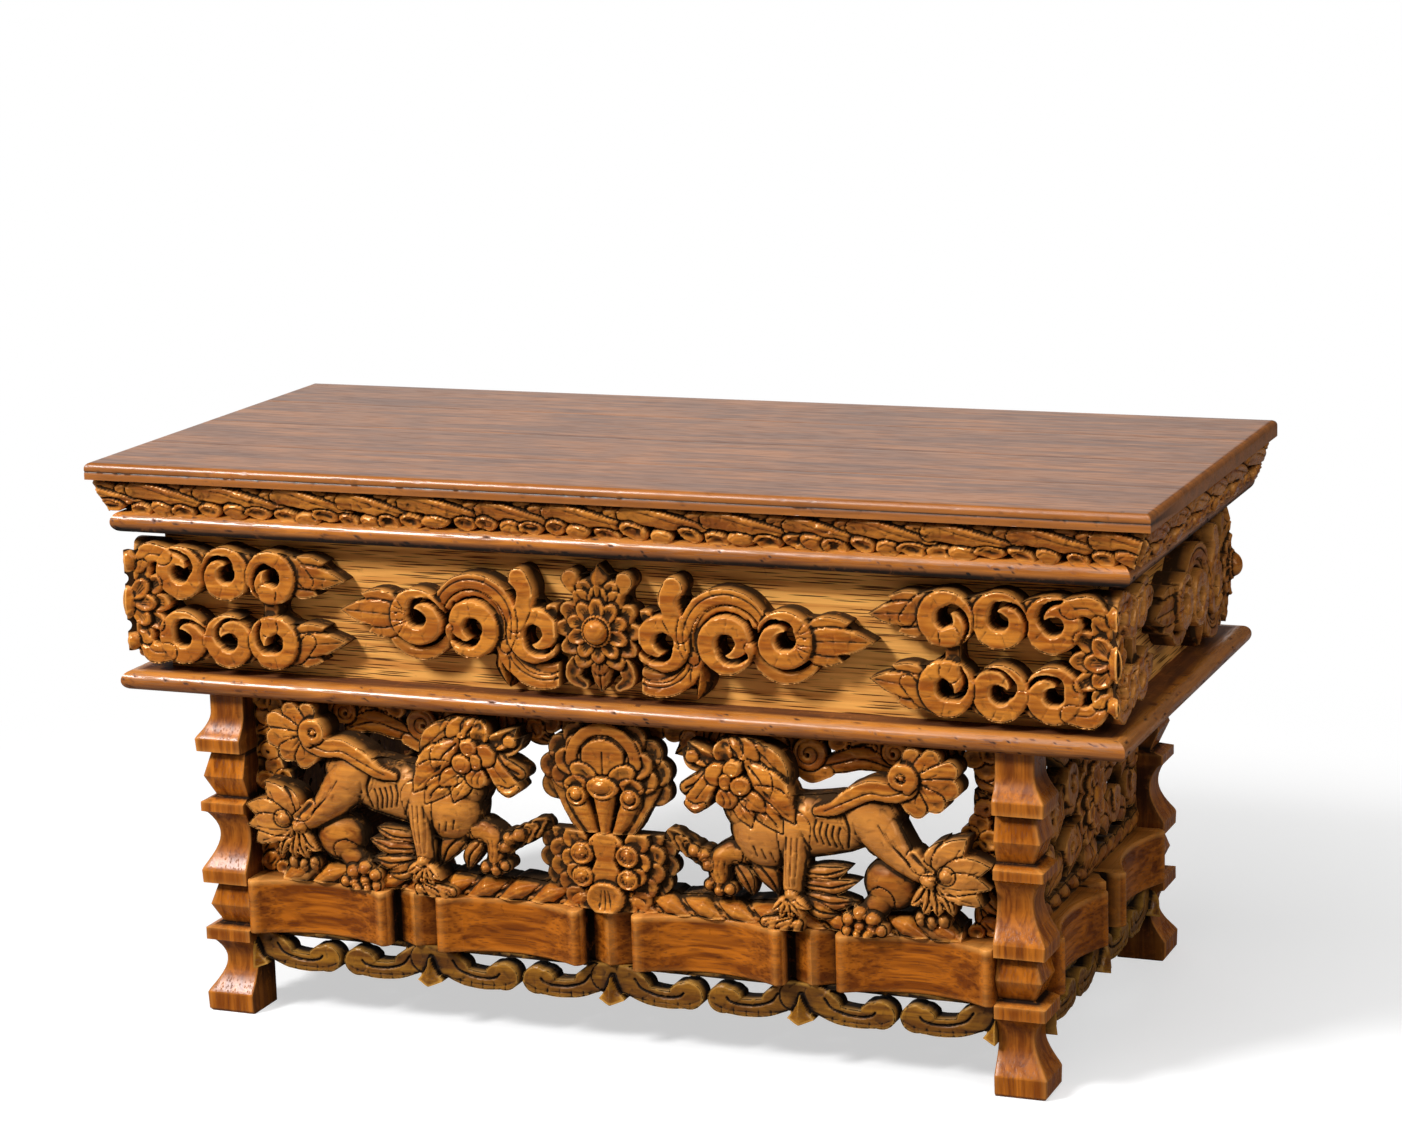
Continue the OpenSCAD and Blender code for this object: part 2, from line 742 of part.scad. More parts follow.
// Snow lion that walks towards +X, drawn in panel space on the left half
module lion() {
    near = 12;
    mid = 20;
    crown = [-98, 103];
    heel = [-240, 44];
    plume = [-214, 108];
    intersection() {
        union() {
            // barrel, chest and neck
            chain([[[-188, mid, 78], 18], [[-154, mid, 70], 19], [[-116, mid + 1, 66], 21],
                   [[-98, mid - 2, 88], 18]]);
            // head, flared muzzle and jaw
            chain([[[-90, mid - 5, 102], 13], [[-77, mid - 7, 95], 9], [[-69, mid - 7, 87], 9]]);
            limb([-88, mid - 6, 90], 6, [-75, mid - 6, 80], 4);
            lion_mane(crown);
            // standing front leg and paw
            chain([[[-130, near + 2, 64], 14], [[-137, near, 42], 9.5], [[-138, near, 22], 7.5],
                   [[-130, near - 2, 7], 8.5], [[-119, near - 2, 5], 6]]);
            // raised front leg and its shaggy paw
            chain([[[-104, mid, 54], 13], [[-86, mid - 2, 45], 9], [[-70, mid - 4, 46], 8]]);
            limb([-70, mid - 4, 48], 7, [-57, mid - 4, 58], 6);
            for (i = [0:3]) let (a = 232 + 26 * i)
                lock([-103, 48], [-103, 48] + polar(29, a), 12, 13);
            // leaf tufts behind the front elbow
            for (i = [0:3])
                lock([-136, 22 + 6 * i], [-180, 13 + 11 * i], 12, 14);
            // hind leg stretched back, with petals at the heel
            chain([[[-192, mid - 1, 80], 18], [[-213, near + 2, 61], 13], [[-236, near, 44], 8],
                   [[-234, near, 26], 7], [[-237, near, 10], 7]]);
            for (i = [0:4]) let (a = 94 + 26 * i)
                petal(heel, heel + polar(31 + 2 * i, a), 14, 14);
            // hind leg under the body
            chain([[[-186, mid, 64], 15], [[-207, mid - 1, 38], 18], [[-193, near, 16], 10],
                   [[-186, near - 2, 6], 8.5], [[-176, near - 2, 5], 7]]);
            // tail along the back, its curl and its plume
            chain([[[-162, near, 86], 6], [[-180, near, 97], 7], [[-210, near, 105], 8]]);
            translate([-219, lock_back, 113]) stand(17) scroll(11);
            for (i = [0:5]) let (a = 84 + 33 * i)
                petal(plume, plume + polar(36 - 2 * i, a), 15, 14);
        }
        translate([-far / 2, -far / 2, 0]) cube([far, far, drawn_panel_h - 4]);
    }
}

module lion_left() {
    color(carved_colour) in_panel() lion();
}

module lion_right() {
    mirror([1, 0, 0]) lion_left();
}

// Lower flower: tiers of round petals about a boss
module lotus_base() {
    back = 21;
    tiers = [[0, 36, 6, 11], [0, 30, 5, 10.5], [0, 24, 4, 10]];
    color(carved_colour) in_panel() difference() {
        union() {
            translate([0, back, 0]) stand(10) {
                translate([-24, 0]) square([48, 50]);
                translate([0, 30]) circle(r = 36, $fn = 64);
            }
            for (tier = [0:2])
                for (i = [0:tiers[tier][2]])
                    let (t = tiers[tier], a = 205 + (335 - 205) * i / t[2], spread = t[1])
                        translate([spread * cos(a), back, 36 + 0.8 * spread * sin(a)])
                            stand(11 + 3 * tier) circle(r = t[3], $fn = 36);
            for (sign = [-1, 1])
                translate([sign * 22, back, 40]) stand(15) circle(r = 12, $fn = 36);
            translate([0, back, 44]) stand(17) circle(r = 12, $fn = 36);
            translate([0, back, 12]) stand(19) circle(r = 11, $fn = 36);
        }
        translate([-far / 2, -far / 2, -far]) cube(far);
        translate([-far / 2, -far / 2, 56]) cube(far);
    }
}

// Upper bloom: two shells of round petals behind three knobbed stamens
module lotus_bloom() {
    back = 21;
    foot = 56;
    rise = drawn_panel_h - foot;
    color(carved_colour) under_waist() intersection() {
        translate([0, back, foot]) {
            stand(9) {
                translate([-24, 0]) square([48, rise]);
                for (i = [0:10]) let (a = -20 + 22 * i)
                    translate([33 * cos(a), 38 + 30 * sin(a)]) circle(r = 14, $fn = 36);
            }
            stand(13) {
                translate([-18, 0]) square([36, 34]);
                for (i = [0:6]) let (a = 30 * i)
                    translate([23 * cos(a), 30 + 25 * sin(a)]) circle(r = 12, $fn = 36);
            }
            translate([0, 0, 52]) stand(16) arc_band(16, 9, 20, 160);
            for (i = [-1, 0, 1])
                translate([0, -12, -4]) rotate([0, i * 25, 0]) {
                    cylinder(r1 = 4, r2 = 8, h = 36, $fn = 32);
                    translate([0, -2, 36]) sphere(r = 7, $fn = 32);
                }
        }
        translate([-far / 2, -far / 2, foot]) cube([far, far, rise]);
    }
}

// Clouds, scrolls and leaves that hang from the waist on one half of the panel
module crest_half() {
    scrolls = [[145, -9, 13, 60], [206, -5, 11, 20]];
    clouds = 14;
    step = (crest_half_w - 40) / clouds;
    back_layer() square([crest_half_w, drawn_panel_h - crest_z]);
    for (i = [0:clouds - 1])
        back_layer() translate([36 + i * step, -3.5 - 2.5 * sin(140 * i)])
            circle(r = 9.5 + sin(97 * i), $fn = 32);
    for (c = scrolls)
        back_layer() translate([c[0], c[1]]) rotate(c[3]) scroll(c[2]);
    for (x = [64, 80])
        back_layer() translate([x, 6]) rotate(-128) leaf(30, 15);
    for (x = [108, 198, 226])
        back_layer() translate([x, 6]) rotate(-40) leaf(31, 15);
    back_layer() translate([200, -9]) rotate(184) leaf(48, 18, 2);
}

module cloud_crest() {
    color(carved_colour) under_waist() translate([0, 0, crest_z]) {
        crest_half();
        mirror([1, 0, 0]) crest_half();
    }
}

// Leaf vine up the inner face of a front leg
module vine_left() {
    leaves = 5;
    step = (drawn_panel_h - 20) / leaves;
    stem = 7;
    color(carved_colour) translate([-front_w / 2, panel_y, rail_top]) scale(panel_k) intersection() {
        union() {
            back_layer() square([stem, drawn_panel_h]);
            for (i = [0:leaves - 1])
                back_layer() translate([4, 6 + i * step]) rotate(i % 2 == 0 ? 38 : 62) leaf(26, 15, 1);
            back_layer() translate([6, 36]) rotate(48) leaf(36, 16, 1);
            back_layer() translate([6, 22]) rotate(20) leaf(32, 14, 1);
        }
        cube(drawn_panel_h);
    }
}

module vine_right() {
    mirror([1, 0, 0]) vine_left();
}

// Pierced leaf carving between the legs of one side
module side_outline() {
    half = drawn_side_w / 2;
    translate([-half, 0]) square([drawn_side_w, 9]);
    translate([-half, drawn_panel_h - 9]) square([drawn_side_w, 9]);
    translate([0, 62]) petal_ring(30, 10, 0.14);
    translate([0, 62]) rotate(90) leaf(72, 46, 2);
    petal_ring(44, 10, 0.14);
    for (sign = [0, 1]) mirror([sign, 0]) {
        translate([half - 8, 0]) square([8, drawn_panel_h]);
        translate([48, 62]) rotate(150) scroll(24);
        translate([20, 92]) rotate(42) leaf(52, 26, 2);
        translate([26, 28]) rotate(-12) leaf(50, 24, 2);
        translate([86, 40]) rotate(70) scroll(22);
        translate([88, 92]) rotate(-80) mirror([0, 1]) scroll(24);
        translate([64, 66]) leaf(44, 20, 1);
        translate([98, 66]) leaf(36, 22, 1);
        translate([100, 30]) rotate(-20) leaf(34, 18, 1);
        translate([104, 106]) rotate(20) leaf(30, 18, 1);
        translate([58, drawn_panel_h - 10]) circle(r = 13, $fn = 36);
        translate([104, drawn_panel_h - 10]) circle(r = 13, $fn = 36);
        translate([66, 4]) rotate(50) leaf(34, 20, 1);
    }
}

module side_carving_right() {
    t = 18;
    color(carved_colour) translate([leg_span_w / 2 - leg_s / 2 + t / 2 - 4, 0, rail_top])
        rotate([0, 0, 90]) scale([side_w / drawn_side_w, 1, panel_h / drawn_panel_h]) {
            translate([0, t, 0]) stand(t) intersection() {
                side_outline();
                translate([-drawn_side_w / 2, 0]) square([drawn_side_w, drawn_panel_h]);
            }
            translate([0, t, 62]) stand(t + 4) petal_ring(19, 8, 0.18);
        }
}

module side_carving_left() {
    mirror([1, 0, 0]) side_carving_right();
}

top_board(0);  // top_board_1
top_board(1);  // top_board_2
top_board(2);  // top_board_3
top_board(3);  // top_board_4
cornice(0);  // cornice_front
cornice(2, false);  // cornice_back
cornice(3);  // cornice_left
cornice(1);  // cornice_right
bead(0);  // bead_front
bead(2);  // bead_back
bead(3);  // bead_left
bead(1);  // bead_right
frieze_long(-1);  // frieze_front
frieze_long(1);  // frieze_back
frieze_short(-1);  // frieze_left
frieze_short(1);  // frieze_right
corner_block(-1, -1);  // corner_block_front_left
corner_block(1, -1);  // corner_block_front_right
corner_block(-1, 1);  // corner_block_back_left
corner_block(1, 1);  // corner_block_back_right
top_batten(-1);  // top_batten_left
top_batten(1);  // top_batten_right
rosette_front();
spray_front_left();
spray_front_right();
spray_side_left();
spray_side_right();
bracket_front_left();
bracket_front_right();
bracket_side_left();
bracket_side_right();
waist(0);  // waist_front
waist(2);  // waist_back
waist(3);  // waist_left
waist(1);  // waist_right
leg(-1, -1);  // leg_front_left
leg(1, -1);  // leg_front_right
leg(-1, 1);  // leg_back_left
leg(1, 1);  // leg_back_right
rail_front();
rail_left();
rail_right();
apron_front();
apron_left();
apron_right();
ground_strip();
lion_left();
lion_right();
lotus_bloom();
lotus_base();
cloud_crest();
vine_left();
vine_right();
side_carving_left();
side_carving_right();
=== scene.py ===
"""Low carved altar table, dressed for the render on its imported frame.

X runs along the front, the front faces -Y and Z is up. Carvings are drawn in millimetres as heights
over a flat back, the way they are cut from a board, and become closed meshes in metres.
"""
import logging
import math
from collections.abc import Callable, Iterable, Sequence
from dataclasses import dataclass
from enum import Enum
from typing import NamedTuple, TypeVar

import bpy
import numpy as np
from mathutils import Matrix, Vector


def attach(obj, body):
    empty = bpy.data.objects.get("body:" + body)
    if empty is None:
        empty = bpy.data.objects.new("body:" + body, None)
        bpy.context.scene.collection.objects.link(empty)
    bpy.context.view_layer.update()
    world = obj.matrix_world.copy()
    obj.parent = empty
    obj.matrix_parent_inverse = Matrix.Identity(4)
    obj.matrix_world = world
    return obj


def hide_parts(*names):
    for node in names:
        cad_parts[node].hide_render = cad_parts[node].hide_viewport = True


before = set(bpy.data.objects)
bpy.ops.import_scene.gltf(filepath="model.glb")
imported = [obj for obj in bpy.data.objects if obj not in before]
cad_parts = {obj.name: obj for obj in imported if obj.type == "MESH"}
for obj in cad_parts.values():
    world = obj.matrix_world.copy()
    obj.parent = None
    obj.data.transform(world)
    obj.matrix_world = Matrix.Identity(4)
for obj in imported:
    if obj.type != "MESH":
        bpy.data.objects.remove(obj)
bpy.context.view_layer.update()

LOG = logging.getLogger("altar_table")
MM = 0.001
UP = (0, 0, 1)
HANDS = (("right", 1), ("left", -1))
TINY = 1e-6
CURVE_STEPS = 10    # samples of a curve between two points
SHARP_DEGREES = 48  # edges sharper than this are shaded as edges
CHAMFER_MM = 1.1    # bevel that the knife leaves along a stroke
VEIN_MM = 0.7       # half width of a leaf's middle vein
Point = tuple[float, float]
Line = Sequence[Point]
Table = Sequence[Sequence[float]]
Spread = float | Sequence[float]
Vector3 = tuple[float, float, float]
Window = tuple[slice, slice]
Field = tuple[Window, np.ndarray, np.ndarray]
Choice = TypeVar("Choice")
Material = bpy.types.Material


def soften(values: np.ndarray, cells: int) -> np.ndarray:
    """Blur a field with two passes of a box filter.

    Args:
        values: Field to blur.
        cells: Half width of the box in cells.

    Returns:
        The blurred field, of the same shape.
    """
    out = values.astype(float)
    size = 2 * cells + 1
    for axis in (0, 1, 0, 1):
        pad = [(0, 0), (0, 0)]
        pad[axis] = (cells + 1, cells)
        run = np.cumsum(np.pad(out, pad, mode="edge"), axis=axis)
        hi = np.take(run, range(size, run.shape[axis]), axis=axis)
        lo = np.take(run, range(0, run.shape[axis] - size), axis=axis)
        out = (hi - lo) / size
    return out


def smooth_line(points: Line) -> np.ndarray:
    """Catmull-Rom curve through points.

    Args:
        points: Points to pass through.

    Returns:
        Array of sampled points.
    """
    p = np.asarray(points, float)
    if len(p) == 2:
        return p[0] + (p[1] - p[0]) * np.linspace(0, 1, CURVE_STEPS + 1)[:, None]
    p = np.vstack([2 * p[0] - p[1], p, 2 * p[-1] - p[-2]])
    t = np.linspace(0, 1, CURVE_STEPS, endpoint=False)[:, None]
    runs = []
    for a, b, c, d in zip(p, p[1:], p[2:], p[3:]):
        runs.append(0.5 * (2 * b + (c - a) * t + (2 * a - 5 * b + 4 * c - d) * t**2
                           + (3 * b - a - 3 * c + d) * t**3))
    return np.vstack([*runs, p[-2:-1]])


def polar(centre: Point, radius: float, degrees: float) -> Point:
    """Point at a distance and an angle from a centre."""
    a = math.radians(degrees)
    return centre[0] + radius * math.cos(a), centre[1] + radius * math.sin(a)


def circle_line(centre: Point, radius: Spread, start: float, turn: float,
                steps: int = 40) -> list[Point]:
    """Points along an arc or spiral.

    Args:
        centre: Middle of the arc.
        radius: One radius, or the radii at the start and the end.
        start: First angle in degrees.
        turn: Angle run through in degrees, positive anticlockwise.
        steps: Number of steps.

    Returns:
        The points in order.
    """
    r0, r1 = (radius, radius) if np.isscalar(radius) else radius
    t = np.linspace(0, 1, steps + 1)
    a = np.radians(start + turn * t)
    r = r0 + (r1 - r0) * t
    return list(zip(centre[0] + r * np.cos(a), centre[1] + r * np.sin(a)))


class Section(Enum):
    """Shape of a stroke from its middle to its edge."""

    ROUND = "round"
    FLAT = "flat"
    VEINED = "veined"
    HOLLOW = "hollow"
    RIDGED = "ridged"

    def shape(self, q: np.ndarray, half: np.ndarray) -> np.ndarray:
        """Share of the crest height at a place across the stroke.

        Args:
            q: Place from 0 in the middle to 1 at the edge.
            half: Half width of the stroke in millimetres.

        Returns:
            Values from 0 to 1.
        """
        q = np.clip(q, 0, 1)
        chamfer = np.clip(CHAMFER_MM / np.maximum(half, 0.1), 0.05, 0.8)
        flat = 1 - 0.13 * np.clip((q - 1 + chamfer) / chamfer, 0, 1)
        if self is Section.ROUND:
            return np.sqrt(1 - q**2)
        if self is Section.VEINED:
            vein = np.exp(-((q * half / VEIN_MM) ** 2))
            return 0.55 * flat + 0.45 * np.sqrt(1 - q**2) - 0.3 * vein
        if self is Section.HOLLOW:
            return flat * (0.74 + 0.26 * np.clip(q / 0.8, 0, 1) ** 2)
        if self is Section.RIDGED:
            return 1 - q
        return flat


ROUND, FLAT, VEINED, HOLLOW, RIDGED = Section


@dataclass(frozen=True)
class Placement:
    """Where a carving's flat back lies, in metres.

    Attributes:
        origin: Point of the back plane at u = v = 0.
        across: Direction of u.
        up: Direction of v.
        out: Direction of the height.
    """

    origin: Vector3
    across: Vector3
    up: Vector3
    out: Vector3

    def points(self, u: np.ndarray, v: np.ndarray, h: np.ndarray) -> np.ndarray:
        """World points in metres of carving coordinates in millimetres."""
        axes = [np.outer(c, d) for c, d in ((u, self.across), (v, self.up), (h, self.out))]
        return np.asarray(self.origin) + MM * sum(axes)

    def turned(self) -> bool:
        """True where the three directions make a left-handed set."""
        return float(np.dot(np.cross(self.across, self.up), self.out)) < 0


def make_mesh(name: str, points: np.ndarray, faces: Sequence[np.ndarray],
              **tints: np.ndarray) -> bpy.types.Object:
    """Make a smooth-shaded object from arrays.

    Args:
        name: Name of the piece.
        points: Vertices in metres.
        faces: Arrays of vertex numbers, one row a face, each array of one face size.
        **tints: Darkening and paling by vertex or by face corner, which the finishes read: glaze
                 and painted shade, rubbing and painted highlights.

    Returns:
        The new object, linked to the scene.
    """
    mesh = bpy.data.meshes.new(name)
    mesh.vertices.add(len(points))
    mesh.vertices.foreach_set("co", points.astype(np.float32).ravel())
    loops = np.concatenate([f.ravel() for f in faces])
    sizes = np.concatenate([np.full(len(f), f.shape[1]) for f in faces])
    mesh.loops.add(len(loops))
    mesh.loops.foreach_set("vertex_index", loops.astype(np.int32))
    mesh.polygons.add(len(sizes))
    mesh.polygons.foreach_set("loop_start", (np.cumsum(sizes) - sizes).astype(np.int32))
    mesh.polygons.foreach_set("loop_total", sizes.astype(np.int32))
    mesh.polygons.foreach_set("use_smooth", np.ones(len(sizes), bool))
    for key, values in tints.items():
        domain = "POINT" if values.size == len(points) else "CORNER"
        layer = mesh.attributes.new(key, "FLOAT", domain)
        layer.data.foreach_set("value", np.clip(values, 0, 1).astype(np.float32).ravel())
    mesh.update(calc_edges=True)
    mesh.validate()
    mesh.set_sharp_from_angle(angle=math.radians(SHARP_DEGREES))
    obj = bpy.data.objects.new(name, mesh)
    bpy.context.scene.collection.objects.link(obj)
    return obj


class Relief:
    """Carving drawn stroke by stroke as heights over a flat back."""

    OUTSIDE = -3.0  # lowest distance inside an edge that is kept
    KNIFE = 1.5     # width of the knife line round a stroke
    MARGIN = 2.5    # how far round a stroke the grid is worked
    WALL = 0.6      # usual height of a stroke's wall as a share of its crest
    LEFT_OUT = -0.3  # cosine below which a petal is left to the mirror
    LEAF = (0.5, 0.78, 0.95, 1.0, 0.98, 0.88, 0.7, 0.42, 0.08)
    PETAL = (0.45, 0.62, 0.78, 0.92, 1.0, 1.0, 0.94, 0.84)
    HOLLOW_MM, HOLLOW_DEPTH = 4.5, 7.0  # reach of a hollow, and the depth that is fully darkened by glaze and painted shade
    SEAM_MM, SEAM_DEPTH = 1.3, 1.1      # the same for a knife line
    RUB_DEPTH = 3.0   # height over its surroundings at which an edge is fully rubbed, which also paints its highlight
    # darkening of a stroke's walls, painted shade that deepens towards the back, and of the flat
    # back
    WALL_STAIN, BACK_STAIN = 0.85, 0.32
    SEAM_STAIN, LOW_STAIN = 0.85, 0.75  # most darkening of a knife line, glaze and painted shade, and of the lowest ground, painted shade
    GAP, GROUND = 6.0, 1.5  # half the widest gap that keeps its ground, a low sheet painted dark as the shade between strokes, and the ground's thickness
    CLOSE = 0.55  # share of wood round a place from which its ground is kept
    SOFT = 0.3    # share of the smoothed surface in the finished one
    SLIDE = 1.2   # cells that a point of the edge may slide
    THIN = 0.3    # least thickness of wood

    def __init__(self, us: Point, vs: Point, pitch: float) -> None:
        """Lay out the empty grid.

        Args:
            us: Lowest and highest u in millimetres.
            vs: Lowest and highest v in millimetres.
            pitch: Grid pitch in millimetres.
        """
        self.pitch = pitch
        self.u = np.arange(us[0], us[1] + pitch, pitch)
        self.v = np.arange(vs[0], vs[1] + pitch, pitch)
        self.height = np.zeros((len(self.v), len(self.u)))
        self.inside = np.full_like(self.height, self.OUTSIDE)
        self.rubbed = np.zeros((1, 1))

    def window(self, low: np.ndarray, high: np.ndarray) -> Window:
        """Grid slices that cover a box in millimetres.

        Args:
            low: Lowest u and v of the box.
            high: Highest u and v of the box.

        Returns:
            The rows and the columns.
        """
        cols = np.searchsorted(self.u, (low[0], high[0]))
        rows = np.searchsorted(self.v, (low[1], high[1]))
        return slice(rows[0], rows[1]), slice(cols[0], cols[1])

    def near_line(self, line: np.ndarray, reach: float) -> Field:
        """Distance to a line, and the place along it.

        Args:
            line: Sampled points.
            reach: How far round the line to look.

        Returns:
            The window, the distance in it, and the place along the line from 0 to 1.
        """
        spot = self.window(line.min(0) - reach, line.max(0) + reach)
        uu, vv = np.meshgrid(self.u[spot[1]], self.v[spot[0]])
        best = np.full(uu.shape, np.inf)
        place = np.zeros(uu.shape)
        lengths = np.hypot(*np.diff(line, axis=0).T)
        starts = np.concatenate([[0], np.cumsum(lengths)])
        for a, b, s0, length in zip(line, line[1:], starts, lengths):
            if length < TINY:
                continue
            way = (b - a) / length
            run = np.clip((uu - a[0]) * way[0] + (vv - a[1]) * way[1], 0, length)
            far = np.hypot(uu - a[0] - run * way[0], vv - a[1] - run * way[1])
            nearer = far < best
            best[nearer] = far[nearer]
            place[nearer] = (s0 + run[nearer]) / starts[-1]
        return spot, best, place

    def lay(self, spot: Window, inside: np.ndarray, height: np.ndarray, trench: float) -> None:
        """Add one stroke: the higher surface stays, with a knife line round the stroke.

        Args:
            spot: Window of the stroke.
            inside: Distance inside the stroke's edge.
            height: Its height there.
            trench: Depth of the knife line in millimetres.
        """
        old = self.height[spot]
        near = (inside <= 0) & (inside > -self.KNIFE) & (self.inside[spot] > 0)
        old[near] -= trench * (1 + inside[near] / self.KNIFE)
        np.maximum(old, np.where(inside > 0, height, 0), out=old)
        np.maximum(self.inside[spot], np.maximum(inside, self.OUTSIDE), out=self.inside[spot])

    def sweep(self, path: Line, width: Spread, crest: Spread, base: float | None = None,
              section: Section = ROUND, trench: float = 1.7) -> None:
        """Lay a stroke along a path.

        Args:
            path: Points that the stroke follows.
            width: Half width, one value or several along the path.
            crest: Height of the middle, one value or several along the path.
            base: Height of the wall at the stroke's edge.
            section: Shape across the stroke.
            trench: Depth of the knife line round it.
        """
        line = smooth_line(path)
        widths, crests = np.atleast_1d(width), np.atleast_1d(crest)
        spot, far, place = self.near_line(line, float(widths.max()) + self.MARGIN)
        half = np.interp(place, np.linspace(0, 1, len(widths)), widths)
        top = np.interp(place, np.linspace(0, 1, len(crests)), crests)
        low = top * self.WALL if base is None else base
        shape = section.shape(far / np.maximum(half, TINY), half)
        self.lay(spot, half - far, low + (top - low) * shape, trench)

    def leaf(self, start: Point, end: Point, width: float, crest: Spread, bend: float = 0.0,
             section: Section = VEINED, base: float | None = None,
             blunt: float = 0.0) -> None:
        """Lay a leaf with a pointed tip, or with a round one.

        Args:
            start: Foot of the leaf.
            end: Tip of the leaf.
            width: Half width at its widest.
            crest: Height of the middle.
            bend: Sideways bow of the middle as a share of the length.
            section: Shape across the leaf.
            base: Height of the wall at its edge.
            blunt: Share of the half width that rounds the tip, nought for a point.
        """
        a, b = np.asarray(start, float), np.asarray(end, float)
        side = np.array([a[1] - b[1], b[0] - a[0]])
        tip = b - (b - a) * blunt * width / max(float(np.hypot(*(b - a))), TINY)
        widths = [width * k for k in (self.PETAL if blunt else self.LEAF)]
        self.sweep([a, (a + tip) / 2 + bend * side, tip], widths, crest, base, section)

    def leaves(self, rows: Table, crest: Spread, bend: float = 0.0,
               section: Section = VEINED, base: float | None = None,
               vein: float = 0.0) -> None:
        """Lay pointed leaves of one kind.

        Args:
            rows: Foot, tip and half width of each leaf.
            crest: Height of the middle.
            bend: Sideways bow of the middle as a share of the length.
            section: Shape across a leaf.
            base: Height of the wall at its edge.
            vein: Share of the length along which a vein is cut.
        """
        for x0, z0, x1, z1, half in rows:
            self.leaf((x0, z0), (x1, z1), half, crest, bend, section, base)
            if vein:
                self.cut([(x0, z0), (x0 + vein * (x1 - x0), z0 + vein * (z1 - z0))], 0.9, 0.9)

    def petal(self, start: Point, end: Point, width: float, crest: Spread, bend: float = 0.0,
              section: Section = HOLLOW, base: float | None = None) -> None:
        """Lay a broad petal with a round tip, by the values of a leaf."""
        self.leaf(start, end, width, crest, bend, section, base, blunt=0.8)

    def oval(self, centre: Point, a: float, b: float | None = None, turn: float = 0.0,
             crest: float = 10.0, base: float | None = None, section: Section = ROUND,
             trench: float = 1.5) -> None:
        """Lay an oval.

        Args:
            centre: Middle.
            a: Half size along its own first axis.
            b: Half size along the second axis, a where left out.
            turn: Angle of the first axis in degrees.
            crest: Height of the middle.
            base: Height of the wall at the edge.
            section: Shape from the middle to the edge.
            trench: Depth of the knife line round it.
        """
        b = a if b is None else b
        spot, inside, q = self.oval_field(centre, a, b, turn)
        low = crest * self.WALL if base is None else base
        shape = section.shape(q, np.float64(min(a, b)))
        self.lay(spot, inside, low + (crest - low) * shape, trench)

    def knobs(self, rows: Table, crest: float, base: float) -> None:
        """Lay round knobs, given by their middles and radii."""
        for x, z, size in rows:
            self.oval((x, z), size, crest=crest, base=base)

    def lobes(self, rows: Table, squash: float, turn: float, crest: float, cycle: int,
              base: float) -> None:
        """Lay hollow lobes, each turned a little further than the one before.

        Args:
            rows: Middle and half length of each lobe.
            squash: Half width as a share of the half length.
            turn: Turn from one lobe to the next in degrees.
            crest: Height of the first lobe.
            cycle: Number of lobes that rise by a millimetre each before the height starts again.
            base: Height of the wall.
        """
        for k, (x, z, size) in enumerate(rows):
            self.oval((x, z), size, size * squash, turn * k, crest + k % cycle, base, HOLLOW)

    def ring(self, centre: Point, radius: float, angles: Iterable[float], size: Point,
             crest: float, base: float, tall: float = 1.0, lift: float = 0.0, trench: float = 1.5,
             veins: tuple[float, float, float, float] | None = None) -> None:
        """Lay a flower's hollow petals. Those well left of its middle are left to the mirror.

        Args:
            centre: Middle of the flower.
            radius: Distance of the petals' middles from it.
            angles: Angle of each petal in degrees.
            size: Half length and half width of a petal.
            crest: Height of the petals.
            base: Height of their walls.
            tall: Height of the flower as a share of its width.
            lift: How much higher every second petal is.
            trench: Depth of the knife line round a petal.
            veins: Where three veins start and end along a petal, their spread and their depth.
        """
        for k, angle in enumerate(angles):
            c, s = math.cos(math.radians(angle)), math.sin(math.radians(angle))
            if c < self.LEFT_OUT:
                continue

            def at(along: float, aside: float) -> Point:
                """Point of this petal, along it from its middle and aside."""
                far = radius + along
                return centre[0] + far * c - aside * s, centre[1] + tall * far * s + aside * c

            self.oval(at(0, 0), *size, angle, crest + lift * (k % 2), base, HOLLOW, trench)
            if veins:
                start, end, spread, depth = veins
                for aside in (-spread, 0, spread):
                    self.cut([at(start, 0.4 * aside), at(end, aside)], 0.7, depth)

    def oval_field(self, centre: Point, a: float, b: float, turn: float) -> Field:
        """Measure the grid round an oval.

        Args:
            centre: Middle.
            a: Half size along its own first axis.
            b: Half size along the second axis.
            turn: Angle of the first axis in degrees.

        Returns:
            The window, the distance inside the edge and the share of the radius.
        """
        middle = np.asarray(centre, float)
        reach = max(a, b) + self.MARGIN
        spot = self.window(middle - reach, middle + reach)
        uu, vv = np.meshgrid(self.u[spot[1]] - middle[0], self.v[spot[0]] - middle[1])
        c, s = math.cos(math.radians(turn)), math.sin(math.radians(turn))
        q = np.hypot((uu * c + vv * s) / a, (vv * c - uu * s) / b)
        return spot, (1 - q) * min(a, b), q

    def volute(self, centre: Point, radius: float, start: float, turns: float, width: Spread,
               crest: Spread, base: float) -> None:
        """Lay a flat scroll that winds inwards.

        Args:
            centre: Middle of the scroll.
            radius: Outer radius.
            start: Angle in degrees where the outer end begins.
            turns: Turns inwards, negative clockwise.
            width: Half widths of the band at its outer and inner ends.
            crest: Height of the face.
            base: Height of the wall at the edge.
        """
        path = circle_line(centre, (radius - width[0], 0.32 * radius), start, 360 * turns)
        self.sweep(path[::2], width, crest, base, FLAT)

    def curl(self, centre: Point, radius: float, start: float, way: int, crest: float,
             base: float = 9.0) -> None:
        """Lay a broad scroll: a disc with a deep eye and a slit that winds out to its rim.

        Args:
            centre: Middle of the scroll.
            radius: Outer radius.
            start: Angle in degrees where the band leaves the rim.
            way: 1 where it winds inwards anticlockwise, -1 clockwise.
            crest: Height of the face.
            base: Height of the wall at the edge.
        """
        def at(angle: float, reach: float) -> Point:
            """Point at an angle past the start and a share of the radius."""
            return polar(centre, reach * radius, start + way * angle)

